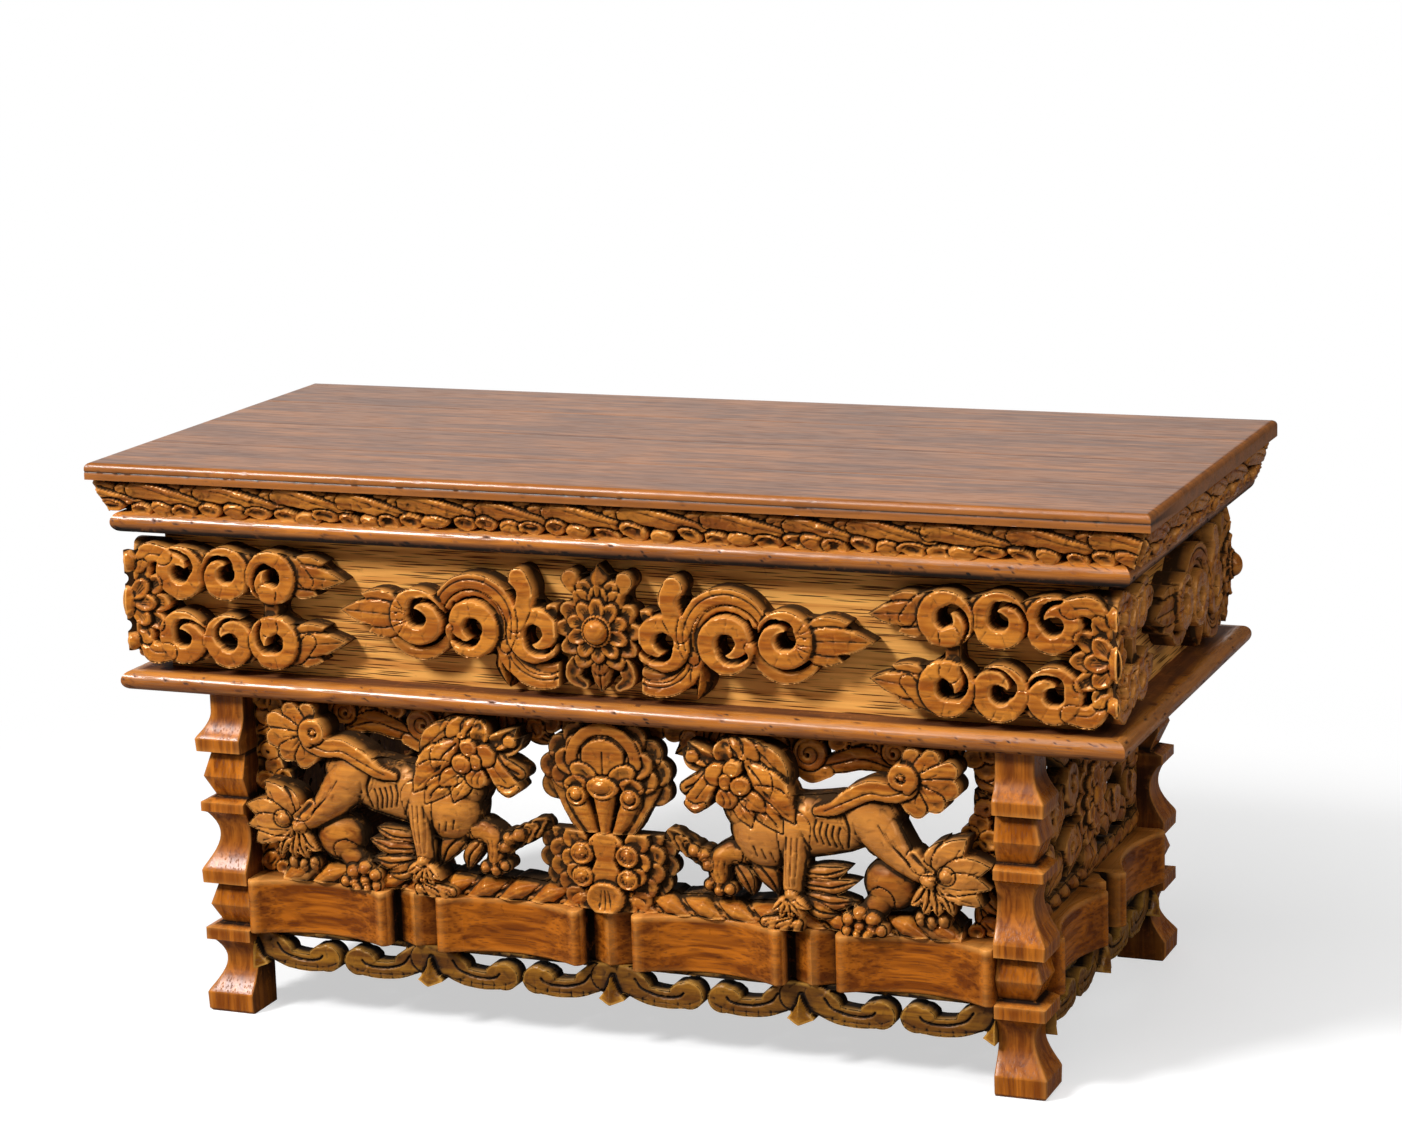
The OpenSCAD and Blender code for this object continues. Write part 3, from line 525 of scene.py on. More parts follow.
        self.oval(centre, radius, crest=crest, base=base, section=FLAT, trench=1.4)
        for k in range(6):
            self.cut([at(58 * k + 20, 0.4 if k % 2 else 0.6), at(58 * k + 26, 0.98)], 0.8, 0.6)
        self.pierce(at(250, 0.04), 0.36 * radius, 0.33 * radius, start)
        slit = ((-8, 1.1), (25, 0.95), (60, 0.8), (95, 0.64), (130, 0.48), (160, 0.3))
        line = smooth_line([at(angle, reach) for angle, reach in slit])
        spot, far, place = self.near_line(line, 0.2 * radius)
        edge = far - radius * (0.05 + 0.1 * place**2)
        np.minimum(self.inside[spot], edge, out=self.inside[spot])

    def cut(self, path: Line, width: float, depth: float) -> None:
        """Cut a V-shaped knife line of a half width and a depth along a path."""
        spot, far, _ = self.near_line(smooth_line(path), width)
        self.height[spot] -= depth * np.clip(1 - far / width, 0, 1)

    def pierce(self, centre: Point, a: float, b: float, turn: float = 0.0) -> None:
        """Cut an oval hole right through."""
        spot, inside, _ = self.oval_field(centre, a, b, turn)
        np.minimum(self.inside[spot], -inside, out=self.inside[spot])

    def ground(self) -> "Relief":
        """Leave a thin ground of wood in the narrow gaps between the strokes. Lying low, it is
        painted nearly black, as the shade between them.

        Returns:
            The relief.
        """
        share = soften(self.inside > 0, round(self.GAP / self.pitch)) - self.CLOSE
        self.height[(share > 0) & (self.inside <= 0)] = self.GROUND
        np.maximum(self.inside, 3 * self.GAP * share, out=self.inside)
        return self

    def clip(self, us: Point | None = None, vs: Point | None = None) -> "Relief":
        """Saw the carving off straight.

        Args:
            us: Range of u that stays, all of it where left out.
            vs: Range of v that stays, all of it where left out.

        Returns:
            The relief.
        """
        for limits, values in ((us, self.u[None, :]), (vs, self.v[:, None])):
            if limits is not None:
                edge = np.minimum(values - limits[0], limits[1] - values)
                np.minimum(self.inside, edge, out=self.inside)
        return self

    def mirror(self) -> "Relief":
        """Repeat the right half on the left. The grid starts at u = 0.

        Returns:
            The relief.
        """
        self.u = np.concatenate([-self.u[:0:-1], self.u])
        self.height = np.hstack([self.height[:, :0:-1], self.height])
        self.inside = np.hstack([self.inside[:, :0:-1], self.inside])
        return self

    def whittle(self, size: float, depth: float, seed: int) -> "Relief":
        """Leave flat knife facets on the surface.

        Args:
            size: Usual width of a facet in millimetres.
            depth: How far a facet tilts.
            seed: Seed of the facets' places.

        Returns:
            The relief.
        """
        rng = np.random.default_rng(seed)
        rows, cols = (int((ax[-1] - ax[0]) / size) + 4 for ax in (self.v, self.u))
        jitter = rng.uniform(0, 1, (rows, cols, 2))
        tilt = rng.normal(0, depth, (rows, cols, 2))
        uu, vv = np.meshgrid((self.u - self.u[0]) / size + 1, (self.v - self.v[0]) / size + 1)
        ci, ri = uu.astype(int), vv.astype(int)
        best = np.full(uu.shape, np.inf)
        add = np.zeros(uu.shape)
        for dr in (-1, 0, 1):
            for dc in (-1, 0, 1):
                r, c = ri + dr, ci + dc
                du, dv = uu - c - jitter[r, c, 0], vv - r - jitter[r, c, 1]
                far = du**2 + dv**2
                near = far < best
                best[near] = far[near]
                add[near] = (tilt[r, c, 0] * du + tilt[r, c, 1] * dv)[near]
        self.height += np.where(self.height > 0, add, 0)
        return self

    def build(self, name: str, place: Placement,
              floor: Callable[[np.ndarray], np.ndarray] | None = None) -> bpy.types.Object:
        """Turn the carving into a closed mesh.

        Args:
            name: Name of the piece.
            place: Where its back lies.
            floor: Height of the back at each u, nought where left out.

        Returns:
            The object, with two attributes: a darkening, of glaze and painted shade, and a paling,
                of rubbing and painted highlights.
        """
        keep = self.inside > 0
        cells = keep[:-1, :-1] | keep[1:, :-1] | keep[:-1, 1:] | keep[1:, 1:]
        weight = soften(keep, 1)
        height = np.where(keep, soften(self.height * keep, 1) / np.maximum(weight, TINY), 0)
        spread = soften(height * keep, 2) / np.maximum(soften(keep, 2), TINY)
        height = np.where(keep, self.SOFT * height + (1 - self.SOFT) * self.height, spread)

        # Darkening that the finish reads: glaze in hollows and knife lines together with painted
        # shade there, and painted shade on the low ground, darkest where it lies deepest.
        wide, fine = (max(2, round(self.HOLLOW_MM / self.pitch)),
                      max(1, round(self.SEAM_MM / self.pitch)))
        share = np.maximum(soften(keep, wide), TINY)
        about = soften(height * keep, wide) / share
        hollow = np.clip((about - height) / self.HOLLOW_DEPTH, 0, 1)
        seam = np.clip((soften(height, fine) - height) / self.SEAM_DEPTH, 0, 1)
        low = np.clip(1 - height / max(height.max(), TINY), 0, 1)
        recess = np.clip(hollow + self.SEAM_STAIN * seam + self.LOW_STAIN * low**1.5, 0, 1)
        # Paling that the finish reads: rubbing on proud edges and on rubbed bodies, which also
        # paints the highlights along the edges.
        rubbed = soften(np.broadcast_to(self.rubbed, height.shape), 2)
        proud = height - soften(height * keep, 1)
        wear = np.clip(proud / self.RUB_DEPTH + rubbed, 0, 1)

        slope_v, slope_u = np.gradient(self.inside, self.pitch)
        steep = np.maximum(slope_u**2 + slope_v**2, 1e-3)
        step = np.where(keep, 0, -self.inside / steep)
        limit = self.SLIDE * self.pitch / np.sqrt(steep)
        step = np.clip(step, -limit, limit)
        uu, vv = np.meshgrid(self.u, self.v)
        uu, vv = uu + step * slope_u, vv + step * slope_v

        used = np.zeros(keep.shape, bool)
        for rows in (slice(None, -1), slice(1, None)):
            for cols in (slice(None, -1), slice(1, None)):
                used[rows, cols] |= cells
        number = np.full(keep.shape, -1)
        count = int(used.sum())
        number[used] = np.arange(count)
        r, c = np.nonzero(cells)
        corner = number[r, c], number[r, c + 1], number[r + 1, c + 1], number[r + 1, c]
        front = np.stack(corner, 1)
        padded = np.pad(cells, 1)
        edges = []
        for k, (dr, dc) in enumerate(((-1, 0), (0, 1), (1, 0), (0, -1))):
            open_side = ~padded[r + 1 + dr, c + 1 + dc]
            edges.append(np.stack([corner[k][open_side], corner[(k + 1) % 4][open_side]], 1))
        edge = np.concatenate(edges)
        walls = np.stack([edge[:, 1], edge[:, 0], edge[:, 0] + count, edge[:, 1] + count], 1)
        back = front[:, ::-1] + count

        u, v, h = uu[used], vv[used], height[used]
        ground = np.zeros(count) if floor is None else floor(u)
        h = np.maximum(h, ground + self.THIN)
        points = np.vstack([place.points(u, v, h), place.points(u, v, ground)])
        quads = np.concatenate([front, walls, back])
        # The walls darken towards the back as painted shade, and the flat back is darkened evenly.
        dark = np.concatenate([recess[used], np.full(count, self.WALL_STAIN)])[quads]
        dark[-len(back):] = self.BACK_STAIN
        if place.turned():
            quads, dark = quads[:, ::-1], dark[:, ::-1]
        worn = np.concatenate([wear[used], np.zeros(count)])
        return make_mesh(name, points, [quads], recess=dark, wear=worn)


def tube(rows: np.ndarray) -> list[np.ndarray]:
    """Faces of a closed tube through rows of points, capped at both ends and facing outwards.

    Args:
        rows: Points by row, place in the row and axis.

    Returns:
        Arrays of faces.
    """
    count, size = rows.shape[:2]
    base = np.arange(count - 1)[:, None] * size + np.arange(size)
    turn = np.arange(count - 1)[:, None] * size + (np.arange(size) + 1) % size
    quads = np.stack([base, turn, turn + size, base + size], -1).reshape(-1, 4)
    caps = np.arange(size)[None, ::-1], np.arange((count - 1) * size, count * size)[None, :]
    faces = [quads, *caps]
    flat = rows.reshape(-1, 3) - rows.reshape(-1, 3).mean(0)
    a, b, c = (flat[quads[:, k]] for k in (0, 1, 2))
    volume = np.einsum("ij,ij->i", a, np.cross(b, c)).sum()
    return faces if volume > 0 else [f[:, ::-1] for f in faces]


def loft(name: str, rows: np.ndarray, **tints: np.ndarray) -> bpy.types.Object:
    """Make a closed object from rows of points, with the tints of a mesh."""
    return make_mesh(name, rows.reshape(-1, 3), tube(rows), **tints)


def finish_piece(obj: bpy.types.Object, nodes: Sequence[str],
                 material: Material) -> None:
    """Put a new piece on the table's body in place of its CAD nodes.

    Args:
        obj: The new piece.
        nodes: CAD nodes that it stands for.
        material: Its finish.
    """
    obj.data.materials.append(material)
    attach(obj, "root")
    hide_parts(*nodes)
    LOG.info("%s: %d faces", obj.name, len(obj.data.polygons))


class BothWays(NamedTuple):
    """One finish with its grain along the front, and again along the sides."""

    front: Material
    side: Material


class Side(Enum):
    """Side of the table, as the direction along it and the direction away from it."""

    FRONT = ((1, 0, 0), (0, -1, 0))
    BACK = ((-1, 0, 0), (0, 1, 0))
    RIGHT = ((0, 1, 0), (1, 0, 0))
    LEFT = ((0, -1, 0), (-1, 0, 0))

    @property
    def axes(self) -> np.ndarray:
        """Directions along the side, away from it and up, one to a row."""
        return np.array([*self.value, UP], float)

    def pick(self, front: Choice, side: Choice) -> Choice:
        """What belongs to this side, out of what the front and back have and the sides have."""
        return front if self in (Side.FRONT, Side.BACK) else side


def front_place(back_y: float, side: int = 1) -> Placement:
    """Placement of carving drawn in x and z on a plane that faces the front.

    Args:
        back_y: Y of the flat back in millimetres.
        side: 1 as drawn, -1 mirrored left to right.

    Returns:
        The placement.
    """
    return Placement((0, back_y * MM, 0), (side, 0, 0), UP, (0, -1, 0))


@dataclass
class LionPanel:
    """Pierced front panel: two snow lions about a lotus, with clouds, vines and a ground strip.

    Attributes:
        floor_z: Height of the rail's top in millimetres.
        roof_z: Height of the waist's underside.
        lotus_z: Height where the lotus bloom stands on its base.
        back_y: Y of the back of the lions and the lotus.
        crest_y: Y of the back of the clouds, vines and strip.
        inner_x: Half the width between the front legs.
        swell: How many times higher than drawn the lions stand out.
        rub: How strongly the lions' bodies are rubbed.
        pitch: Grid pitch of the carving.
    """

    floor_z: float = 102.0
    roof_z: float = 237.0
    lotus_z: float = 158.0
    back_y: float = -149.5
    crest_y: float = -136.0
    inner_x: float = 280.0
    swell: float = 1.14
    rub: float = 0.38
    pitch: float = 0.8

    def lion(self) -> Relief:
        """Draw the right-hand lion, which walks towards the middle.

        Returns:
            The relief.
        """
        r = Relief((38, 282), (self.floor_z - 2, self.roof_z + 2), self.pitch)
        self.far_legs(r)
        rough = r.height.copy()
        self.body(r)
        self.near_legs(r)
        smooth = r.height.copy()
        self.tail(r)
        self.mane(r)
        self.head(r)
        r.rubbed = self.rub * ((smooth > rough) & (r.height <= smooth))
        r.height *= self.swell
        r.whittle(7, 0.4, seed=11)
        return r.clip(us=(40, 279), vs=(self.floor_z, self.roof_z))

    def far_legs(self, r: Relief) -> None:
        """Draw the raised foreleg with its furry paw, the folded hind leg and the elbow flames.

        Args:
            r: Relief to draw on.
        """
        r.sweep([(122, 160), (101, 152), (84, 148)], (13, 10, 7.5), (13, 15, 15), 6)
        r.sweep([(48, 158), (58, 153), (70, 146)], (6, 7, 6), 10, 5)
        for k in range(4):
            x, z = 47 + 6.5 * k, 159 - 4 * k
            r.petal((x, z + 3), (x + 10, z - 9), 5.4, 12 + k % 2, 0.1, base=6)
        r.leaves(((108, 148, 127, 124, 7.5), (96, 143, 107, 122, 6)), (13, 15, 12), 0.1, base=5)
        r.sweep([(93, 152), (84, 145), (84, 131)], (9, 9, 7.5), (15, 17, 17), 7)
        r.knobs(((77, 128, 4.8), (84, 124.5, 5.2), (91.5, 126, 5), (73, 148, 6), (66, 151, 5.5),
                 (76, 142, 5)), 17.5, 8)
        for dx in (-3, 1, 5):
            r.cut([(84 + dx, 146), (83 + dx, 139), (85 + dx, 132)], 1.0, 1.0)
        r.oval((207, 139), 20, 19, crest=17, base=6)
        r.sweep([(201, 128), (191, 116)], (9, 10), 15, 8)
        r.knobs(((186, 117, 6.5), (195, 114, 6.5), (178, 113, 5.5), (186, 108, 5.5),
                 (194, 106, 5.2), (177, 105.5, 4.6), (184, 103.5, 4.2), (191, 103, 4.2),
                 (201, 107, 5)), 20, 10)
        r.leaves(((147, 142, 177, 147, 6), (147, 134, 183, 138, 6), (147, 126, 182, 124, 6),
                  (146, 121, 170, 114, 6)), (14, 16, 12), -0.06, base=7)

    def body(self, r: Relief) -> None:
        """Draw the barrel, chest, neck and haunch, with the ribs cut into the flank.

        Args:
            r: Relief to draw on.
        """
        r.sweep([(200, 188), (176, 180), (150, 175), (124, 172)], (17, 21, 22, 26),
                (18, 18, 19, 20), 8, trench=0.5)
        r.oval((116, 168), 23, 27, 20, crest=20.5, base=8, trench=0)
        r.oval((106, 188), 19, 22, crest=20, base=8, trench=0)
        r.oval((191, 187), 19, 22, 20, crest=21, base=9, trench=0.3)
        for k in range(5):
            x = 157 + 4.2 * k
            r.cut([(x, 181 - k), (x - 1.5, 174 - k), (x + 0.5, 166 - k)], 1.3, 1.6)
        for k in range(3):
            r.cut([(112 + 6 * k, 160 - 2 * k), (114 + 6 * k, 153 - 2 * k)], 1.2, 1.2)
            r.cut([(184 + 5 * k, 182 - 2 * k), (185 + 5 * k, 174 - 2 * k)], 1.3, 1.6)
        r.cut([(136, 190), (144, 176), (152, 160)], 1.2, 1.4)
        r.cut([(172, 196), (180, 178), (178, 163)], 1.4, 1.8)

    def near_legs(self, r: Relief) -> None:
        """Draw the standing foreleg and the stretched hind leg, with fringes, toes and leaves.

        Args:
            r: Relief to draw on.
        """
        r.sweep([(193, 186), (205, 171), (219, 157), (234, 148)], (18, 15.5, 11, 8),
                (21, 21.5, 21, 20), 10, trench=0.8)
        for dx in (-4, 1, 6):
            r.cut([(206 + dx, 178 - dx), (214 + dx, 166 - dx), (222 + dx, 158 - dx)], 1.1, 1.1)
        r.oval((236, 145), 6.5, crest=22, base=14)
        r.leaves(((233, 140, 222, 127, 4.6), (236, 139, 231, 121, 4.6), (239, 139, 241, 120, 4.6),
                  (242, 141, 252, 122, 4.6)), 19, 0.08, base=9)
        for x, z in ((228, 117), (236, 115), (244, 117)):
            r.oval((x, z), 5, 6.5, crest=16, base=7)
        r.sweep([(229, 112), (237, 106), (247, 104)], 5, 12, 6)
        r.leaves(((240, 150, 246, 174, 7), (244, 140, 272, 130, 7.5), (245, 147, 262, 176, 9.5),
                  (245, 143, 278, 158, 9.5), (244, 141, 278, 143, 7.5)), (17, 20, 16), 0.12, FLAT,
                 8, vein=0.75)
        r.oval((248, 150), 6.5, crest=21, base=11)
        r.petal((238, 152), (222, 164), 5, 19, 0.1, base=12)

        r.sweep([(141, 174), (140, 152), (138, 135), (138, 124)], (12, 9.5, 8, 7),
                (20, 21.5, 21.5, 21), 10, trench=1.2)
        for dx in (-4, 0, 4):
            r.cut([(140 + dx, 168), (139 + dx, 150), (138 + 0.7 * dx, 134)], 1.2, 1.3)
        tips = ((124, 115), (130, 111), (138, 109), (146, 112), (151, 118))
        r.leaves([(138, 127, *tip, 3.6) for tip in tips], 22, base=14)
        r.oval((138, 128), 5, 3.6, crest=22.5, base=16)
        for x0, z0, x1, z1, half in ((138, 112, 118, 106, 4.6), (137, 109, 122, 103.5, 4.2),
                                     (140, 108, 131, 103.5, 4.4), (143, 108, 141, 103.5, 4.6)):
            r.sweep([(x0, z0), (x1, z1)], (half * 0.8, half), (20, 19), 11)

    def tail(self, r: Relief) -> None:
        """Draw the tail along the back, its volute and the fan of plume petals.

        Args:
            r: Relief to draw on.
        """
        foot, eye = (222, 213), (219, 216)
        tips = ((226, 236), (243, 234), (257, 224), (258, 209), (247, 196), (231, 189))
        for k, (x, z) in enumerate(tips):
            r.petal(foot, (x, z), 8.2, (17, 20 - 0.3 * k, 18), -0.1, FLAT, 8)
            r.cut([(229, 213), (0.4 * foot[0] + 0.6 * x, 0.4 * foot[1] + 0.6 * z)], 0.9, 0.8)
        r.sweep([(158, 188), (170, 191), (182, 199), (197, 206), (212, 205), (222, 209)],
                (3, 5, 6.5, 7, 7, 7.5), (20, 22, 22.5, 22, 21, 20), 14, FLAT, 1.6)
        r.cut([(164, 189), (180, 197), (196, 204), (208, 203), (220, 206)], 1.0, 1.2)
        r.volute(eye, 12, -60, 1.6, (3.8, 2.2), 22.5, 13)
        r.oval(eye, 3, crest=22.5, base=16)

    def mane(self, r: Relief) -> None:
        """Draw the broad pointed locks that stream back from the crown, the rear ones first.

        Args:
            r: Relief to draw on.
        """
        rear = ((100, 229, 125, 217, 7), (112, 228, 138, 205, 6.6), (99, 231, 114, 213, 8),
                (90, 230, 103, 219, 7.5))
        fore = ((122, 207, 137, 181, 8), (112, 210, 139, 192, 8), (109, 215, 123, 193, 9),
                (99, 189, 111, 174, 6.5), (117, 199, 142, 179, 8), (112, 188, 133, 171, 7.5),
                (104, 194, 121, 184, 6.5))
        for k, (x0, z0, x1, z1, half) in enumerate(rear + fore):
            low, dx, dz = 14 if k < len(rear) else 17, x1 - x0, z1 - z0
            section = FLAT if k % 3 else VEINED
            crest = (low + 1, low + 4.5, low + 2.5)
            r.leaf((x0, z0), (x1, z1), half, crest, 0.12, section, low - 5)
            r.cut([(x0 + 0.2 * dx, z0 + 0.2 * dz + 2), (x0 + 0.85 * dx, z0 + 0.85 * dz + 1)], 0.9,
                  0.9)

    def head(self, r: Relief) -> None:
        """Draw the face: crown leaves, a snout of folded leaves, the brow, discs and the cheek.

        Args:
            r: Relief to draw on.
        """
        for crest, row in ((18, (86, 216, 64, 228, 6.5)), (16, (78, 211, 59, 222, 5)),
                           (18, (92, 216, 93, 233, 7))):
            r.leaves([row], (crest, crest + 1, crest - 3), 0.1, HOLLOW, 9)
        r.oval((68, 219), 5, 4.4, 20, 18.5, 10, FLAT)
        r.oval((94, 203), 15, 14, crest=18.5, base=10)
        r.oval((93.5, 192), 8, 7.6, 20, 20.5, 11, FLAT)
        for dx in (-2, 2.5):
            r.cut([(91 + dx, 196), (94 + dx, 191), (93.5 + dx, 186.5)], 1.0, 1.2)
        r.petal((80, 210), (58.5, 193), 6.4, (17, 18.5, 16.5), 0.08, VEINED, 9)
        r.sweep([(84, 207), (77.5, 198), (70, 187.5)], (6, 6.6, 7.6), (19.5, 20.5, 19), 11, FLAT)
        r.cut([(82, 204), (75, 195), (71, 190)], 0.9, 1.0)
        r.sweep([(63.5, 186), (69.5, 182.5), (76.5, 185)], (2.4, 3.2, 2.4), (19.5, 20.5, 19.5), 12)
        r.oval((86.5, 208.5), 8.6, 7.8, 25, 21, 13, FLAT, 2)
        for spot, a, b, turn in (((98.3, 213), 7, 5.8, 35), ((93, 203.5), 4.6, 5.8, 0),
                                 ((104, 201.5), 7.4, 6.4, 20)):
            r.oval(spot, a, b, turn, 21.8, 13, FLAT, 2)
            r.cut(circle_line(spot, 0.6 * min(a, b), 0, 320, 14), 0.8, 0.8)

    def lotus_bloom(self) -> Relief:
        """Draw the upper bloom: shells of round petals behind three knobbed stamens.

        Returns:
            The relief.
        """
        r = Relief((0, 54), (self.lotus_z - 2, self.roof_z + 2), self.pitch)
        r.oval((0, 198), 34, 34, 0, 7, 5, FLAT)
        r.sweep([(0, 158), (0, 176)], (14, 22), 7, 5, FLAT)
        r.ring((0, 197), 37, range(-14, 107, 24), (12.5, 10.5), 11, 4, tall=31 / 37, lift=1)
        r.ring((0, 196), 28, range(2, 99, 24), (12, 9.5), 14.5, 7, tall=25 / 28, lift=1)
        r.sweep(circle_line((0, 208), 24, 0, 90, 10), 4.2, 16, 10, FLAT)
        r.oval((0, 212), 16, 13, 0, 17, 11, FLAT)
        r.cut([(0, 196), (0, 216)], 1.0, 1.4)
        r.oval((14, 200), 11, 7, 28, 18, 11, HOLLOW)
        r.oval((21, 192), 9, 6, -10, 17, 11, HOLLOW)
        r.leaf((14, 157), (41, 192), 9, (14, 15, 11), 0.12, FLAT, 7)
        r.sweep([(8, 157), (15, 170), (20, 181)], (4, 6.5, 8), (17, 18, 18), 11)
        r.oval((20, 184), 7.6, 7, 0, 19, 12, HOLLOW)
        r.oval((20, 185), 4.4, crest=21.5, base=15)
        r.sweep([(0, 156), (0, 172), (0, 188)], (3.2, 6, 9.5), (19, 20, 20), 12)
        r.oval((0, 191), 11.5, 8, 0, 21, 13, HOLLOW)
        r.oval((0, 192), 8.5, 5.5, crest=22.5, base=16)
        return r.mirror().whittle(6, 0.35, seed=5).clip(vs=(self.lotus_z, self.roof_z))

    def lotus_base(self) -> Relief:
        """Draw the lower bloom: tiers of round petals about balls and a boss.

        Returns:
            The relief.
        """
        r = Relief((0, 54), (self.floor_z - 2, self.lotus_z + 2), self.pitch)
        r.oval((0, 130), 30, 28, 0, 9, 4, FLAT)
        r.sweep([(0, 108), (0, 150)], 20, 8, 4, FLAT)
        tiers = ((42, 148, 8.5, 10), (43, 136, 9, 10), (38, 124, 9, 10), (32, 113, 9, 10),
                 (33, 155, 9, 12), (34, 143, 9.5, 14), (34, 131, 9, 14), (28, 120, 9, 14),
                 (24, 110, 8.5, 14), (23, 152, 9.5, 16), (25, 138, 8.5, 17), (22, 128, 8, 17),
                 (15, 106, 7.5, 15))
        for x, z, size, crest in tiers:
            r.oval((x, z), size, size * 0.86, 20, crest, crest - 6, HOLLOW)
        r.oval((0, 149), 13, 10, 0, 18, 11, FLAT)
        r.sweep([(0, 150), (0, 138), (0, 128)], (9, 7, 12), 18, 11, FLAT)
        for z, size in ((143, 8.4), (126, 7.8)):
            r.oval((17, z), size, size * 0.95, 0, 20, 12, HOLLOW)
            r.oval((17.4, z + 0.5), size * 0.62, crest=21, base=15)
            r.oval((15.6, z - 1), 1.2, crest=16, base=15)
        r.oval((0, 112), 14, 12, 0, 21.5, 12, HOLLOW)
        for k in (-1, 0, 1):
            r.cut([(2.5 * k, 118), (4.5 * k, 104)], 0.9, 0.8)
        return r.mirror().whittle(5, 0.3, seed=7).clip(vs=(self.floor_z, self.lotus_z))

    def crest(self) -> Relief:
        """Draw the clouds, discs and leaves that hang from the waist.

        Returns:
            The relief.
        """
        r = Relief((0, 256), (196, self.roof_z + 2), self.pitch)
        r.sweep([(0, 236), (253, 236)], 6, 8, 5, FLAT)
        r.lobes(((30, 228, 9), (47, 230, 9), (58, 224, 8), (72, 231, 9), (88, 228, 8),
                 (104, 231, 9), (119, 230, 9), (132, 229, 8), (166, 232, 8), (182, 231, 9),
                 (198, 230, 9), (214, 231, 9), (232, 230, 9), (246, 229, 9)), 0.9, 30, 11, 3, 5)
        r.leaves(((64, 233, 46, 213, 7), (80, 234, 70, 212, 7), (108, 234, 130, 214, 7),
                  (200, 233, 226, 214, 6), (226, 234, 250, 218, 7), (190, 228, 160, 220, 6)),
                 (11, 13, 9), 0.14, base=5)
        r.sweep([(152, 211), (166, 216), (184, 220), (204, 214)], (5, 8, 8, 4),
                (11, 13.3, 13.3, 10), 6, VEINED)
        r.sweep([(136, 212), (146, 207), (158, 209)], (5, 6.5, 4), 12, 6, FLAT)
        for x, z, size in ((145, 221, 11.8), (206, 226, 9)):
            r.oval((x, z), size, crest=13.4, base=7, section=FLAT)
            r.cut(circle_line((x, z), (size * 0.8, 2), 90, 560, 40), 1.0, 1.3)
            r.pierce((x - 1, z - 1), 1.9, 1.9)
        return r.mirror().whittle(6, 0.35, seed=9).clip(us=(-252, 252), vs=(190, self.roof_z))

    def vine(self) -> Relief:
        """Draw the leaf vine that climbs the inner face of the right leg.

        Returns:
            The relief.
        """
        r = Relief((244, self.inner_x + 2), (self.floor_z - 2, self.roof_z + 2), self.pitch)
        r.sweep([(278, 100), (276, 150), (278, 200), (276, 239)], 4.5, 8, 5, FLAT)
        r.leaves(((279, 102, 262, 128, 7), (278, 118, 264, 146, 6.5), (280, 146, 262, 162, 6),
                  (279, 190, 261, 204, 7), (278, 206, 262, 220, 6.5)), (10, 12.5, 9), 0.12, base=5)
        r.lobes(((270, 219, 9), (262, 227, 8), (273, 231, 8), (265, 181, 8.5), (258, 174, 6.5),
                 (272, 170, 8.5), (263, 163, 6.5), (273, 154, 7), (272, 110, 8), (262, 106, 6)),
                0.88, 40, 12, 2, 6)
        r.volute((269, 192), 8, 200, -1.3, (2.8, 2), 13, 8)
        r.whittle(5, 0.3, seed=13)
        return r.clip(us=(246, self.inner_x), vs=(self.floor_z, self.roof_z))

    def strip(self) -> Relief:
        """Draw the twisted strip of leaves that lies on the rail.

        Returns:
            The relief.
        """
        half, roof, pitch = 255, 124, 24.5
        r = Relief((0, half + 3), (self.floor_z - 2, roof), self.pitch)
        r.sweep([(0, 104), (half, 104)], 7, 24, 8)
        for k in range(11):
            x = half - 1 - pitch * k
            r.sweep([(x, 101), (x - 12, 108.5), (x - 29, 112)], (6, 9.5, 4.5), (26, 29, 22), 8,
                    trench=2.2)
            r.cut([(x - 2, 103), (x - 13, 110), (x - 25, 113)], 0.9, 0.9)
        return r.mirror().whittle(6, 0.3, seed=15).clip(us=(-half, half), vs=(self.floor_z, roof))

    def build(self, finish: Material) -> None:
        """Make the panel's pieces.

        Args:
            finish: Finish of the carved wood.
        """
        pair = (("lion", self.lion(), self.back_y), ("vine", self.vine(), self.crest_y))
        pieces = [(f"{kind}_carving_{name}", f"{kind}_{name}", relief, front_place(back, side))
                  for name, side in HANDS for kind, relief, back in pair]
        pieces += [(f"{node}_carving", node, relief, front_place(back))
                   for node, relief, back in (("lotus_bloom", self.lotus_bloom(), self.back_y),
                                              ("lotus_base", self.lotus_base(), self.back_y),
                                              ("cloud_crest", self.crest(), self.crest_y),
                                              ("ground_strip", self.strip(), self.crest_y))]
        for name, node, relief, place in pieces:
            finish_piece(relief.build(name, place), [node], finish)


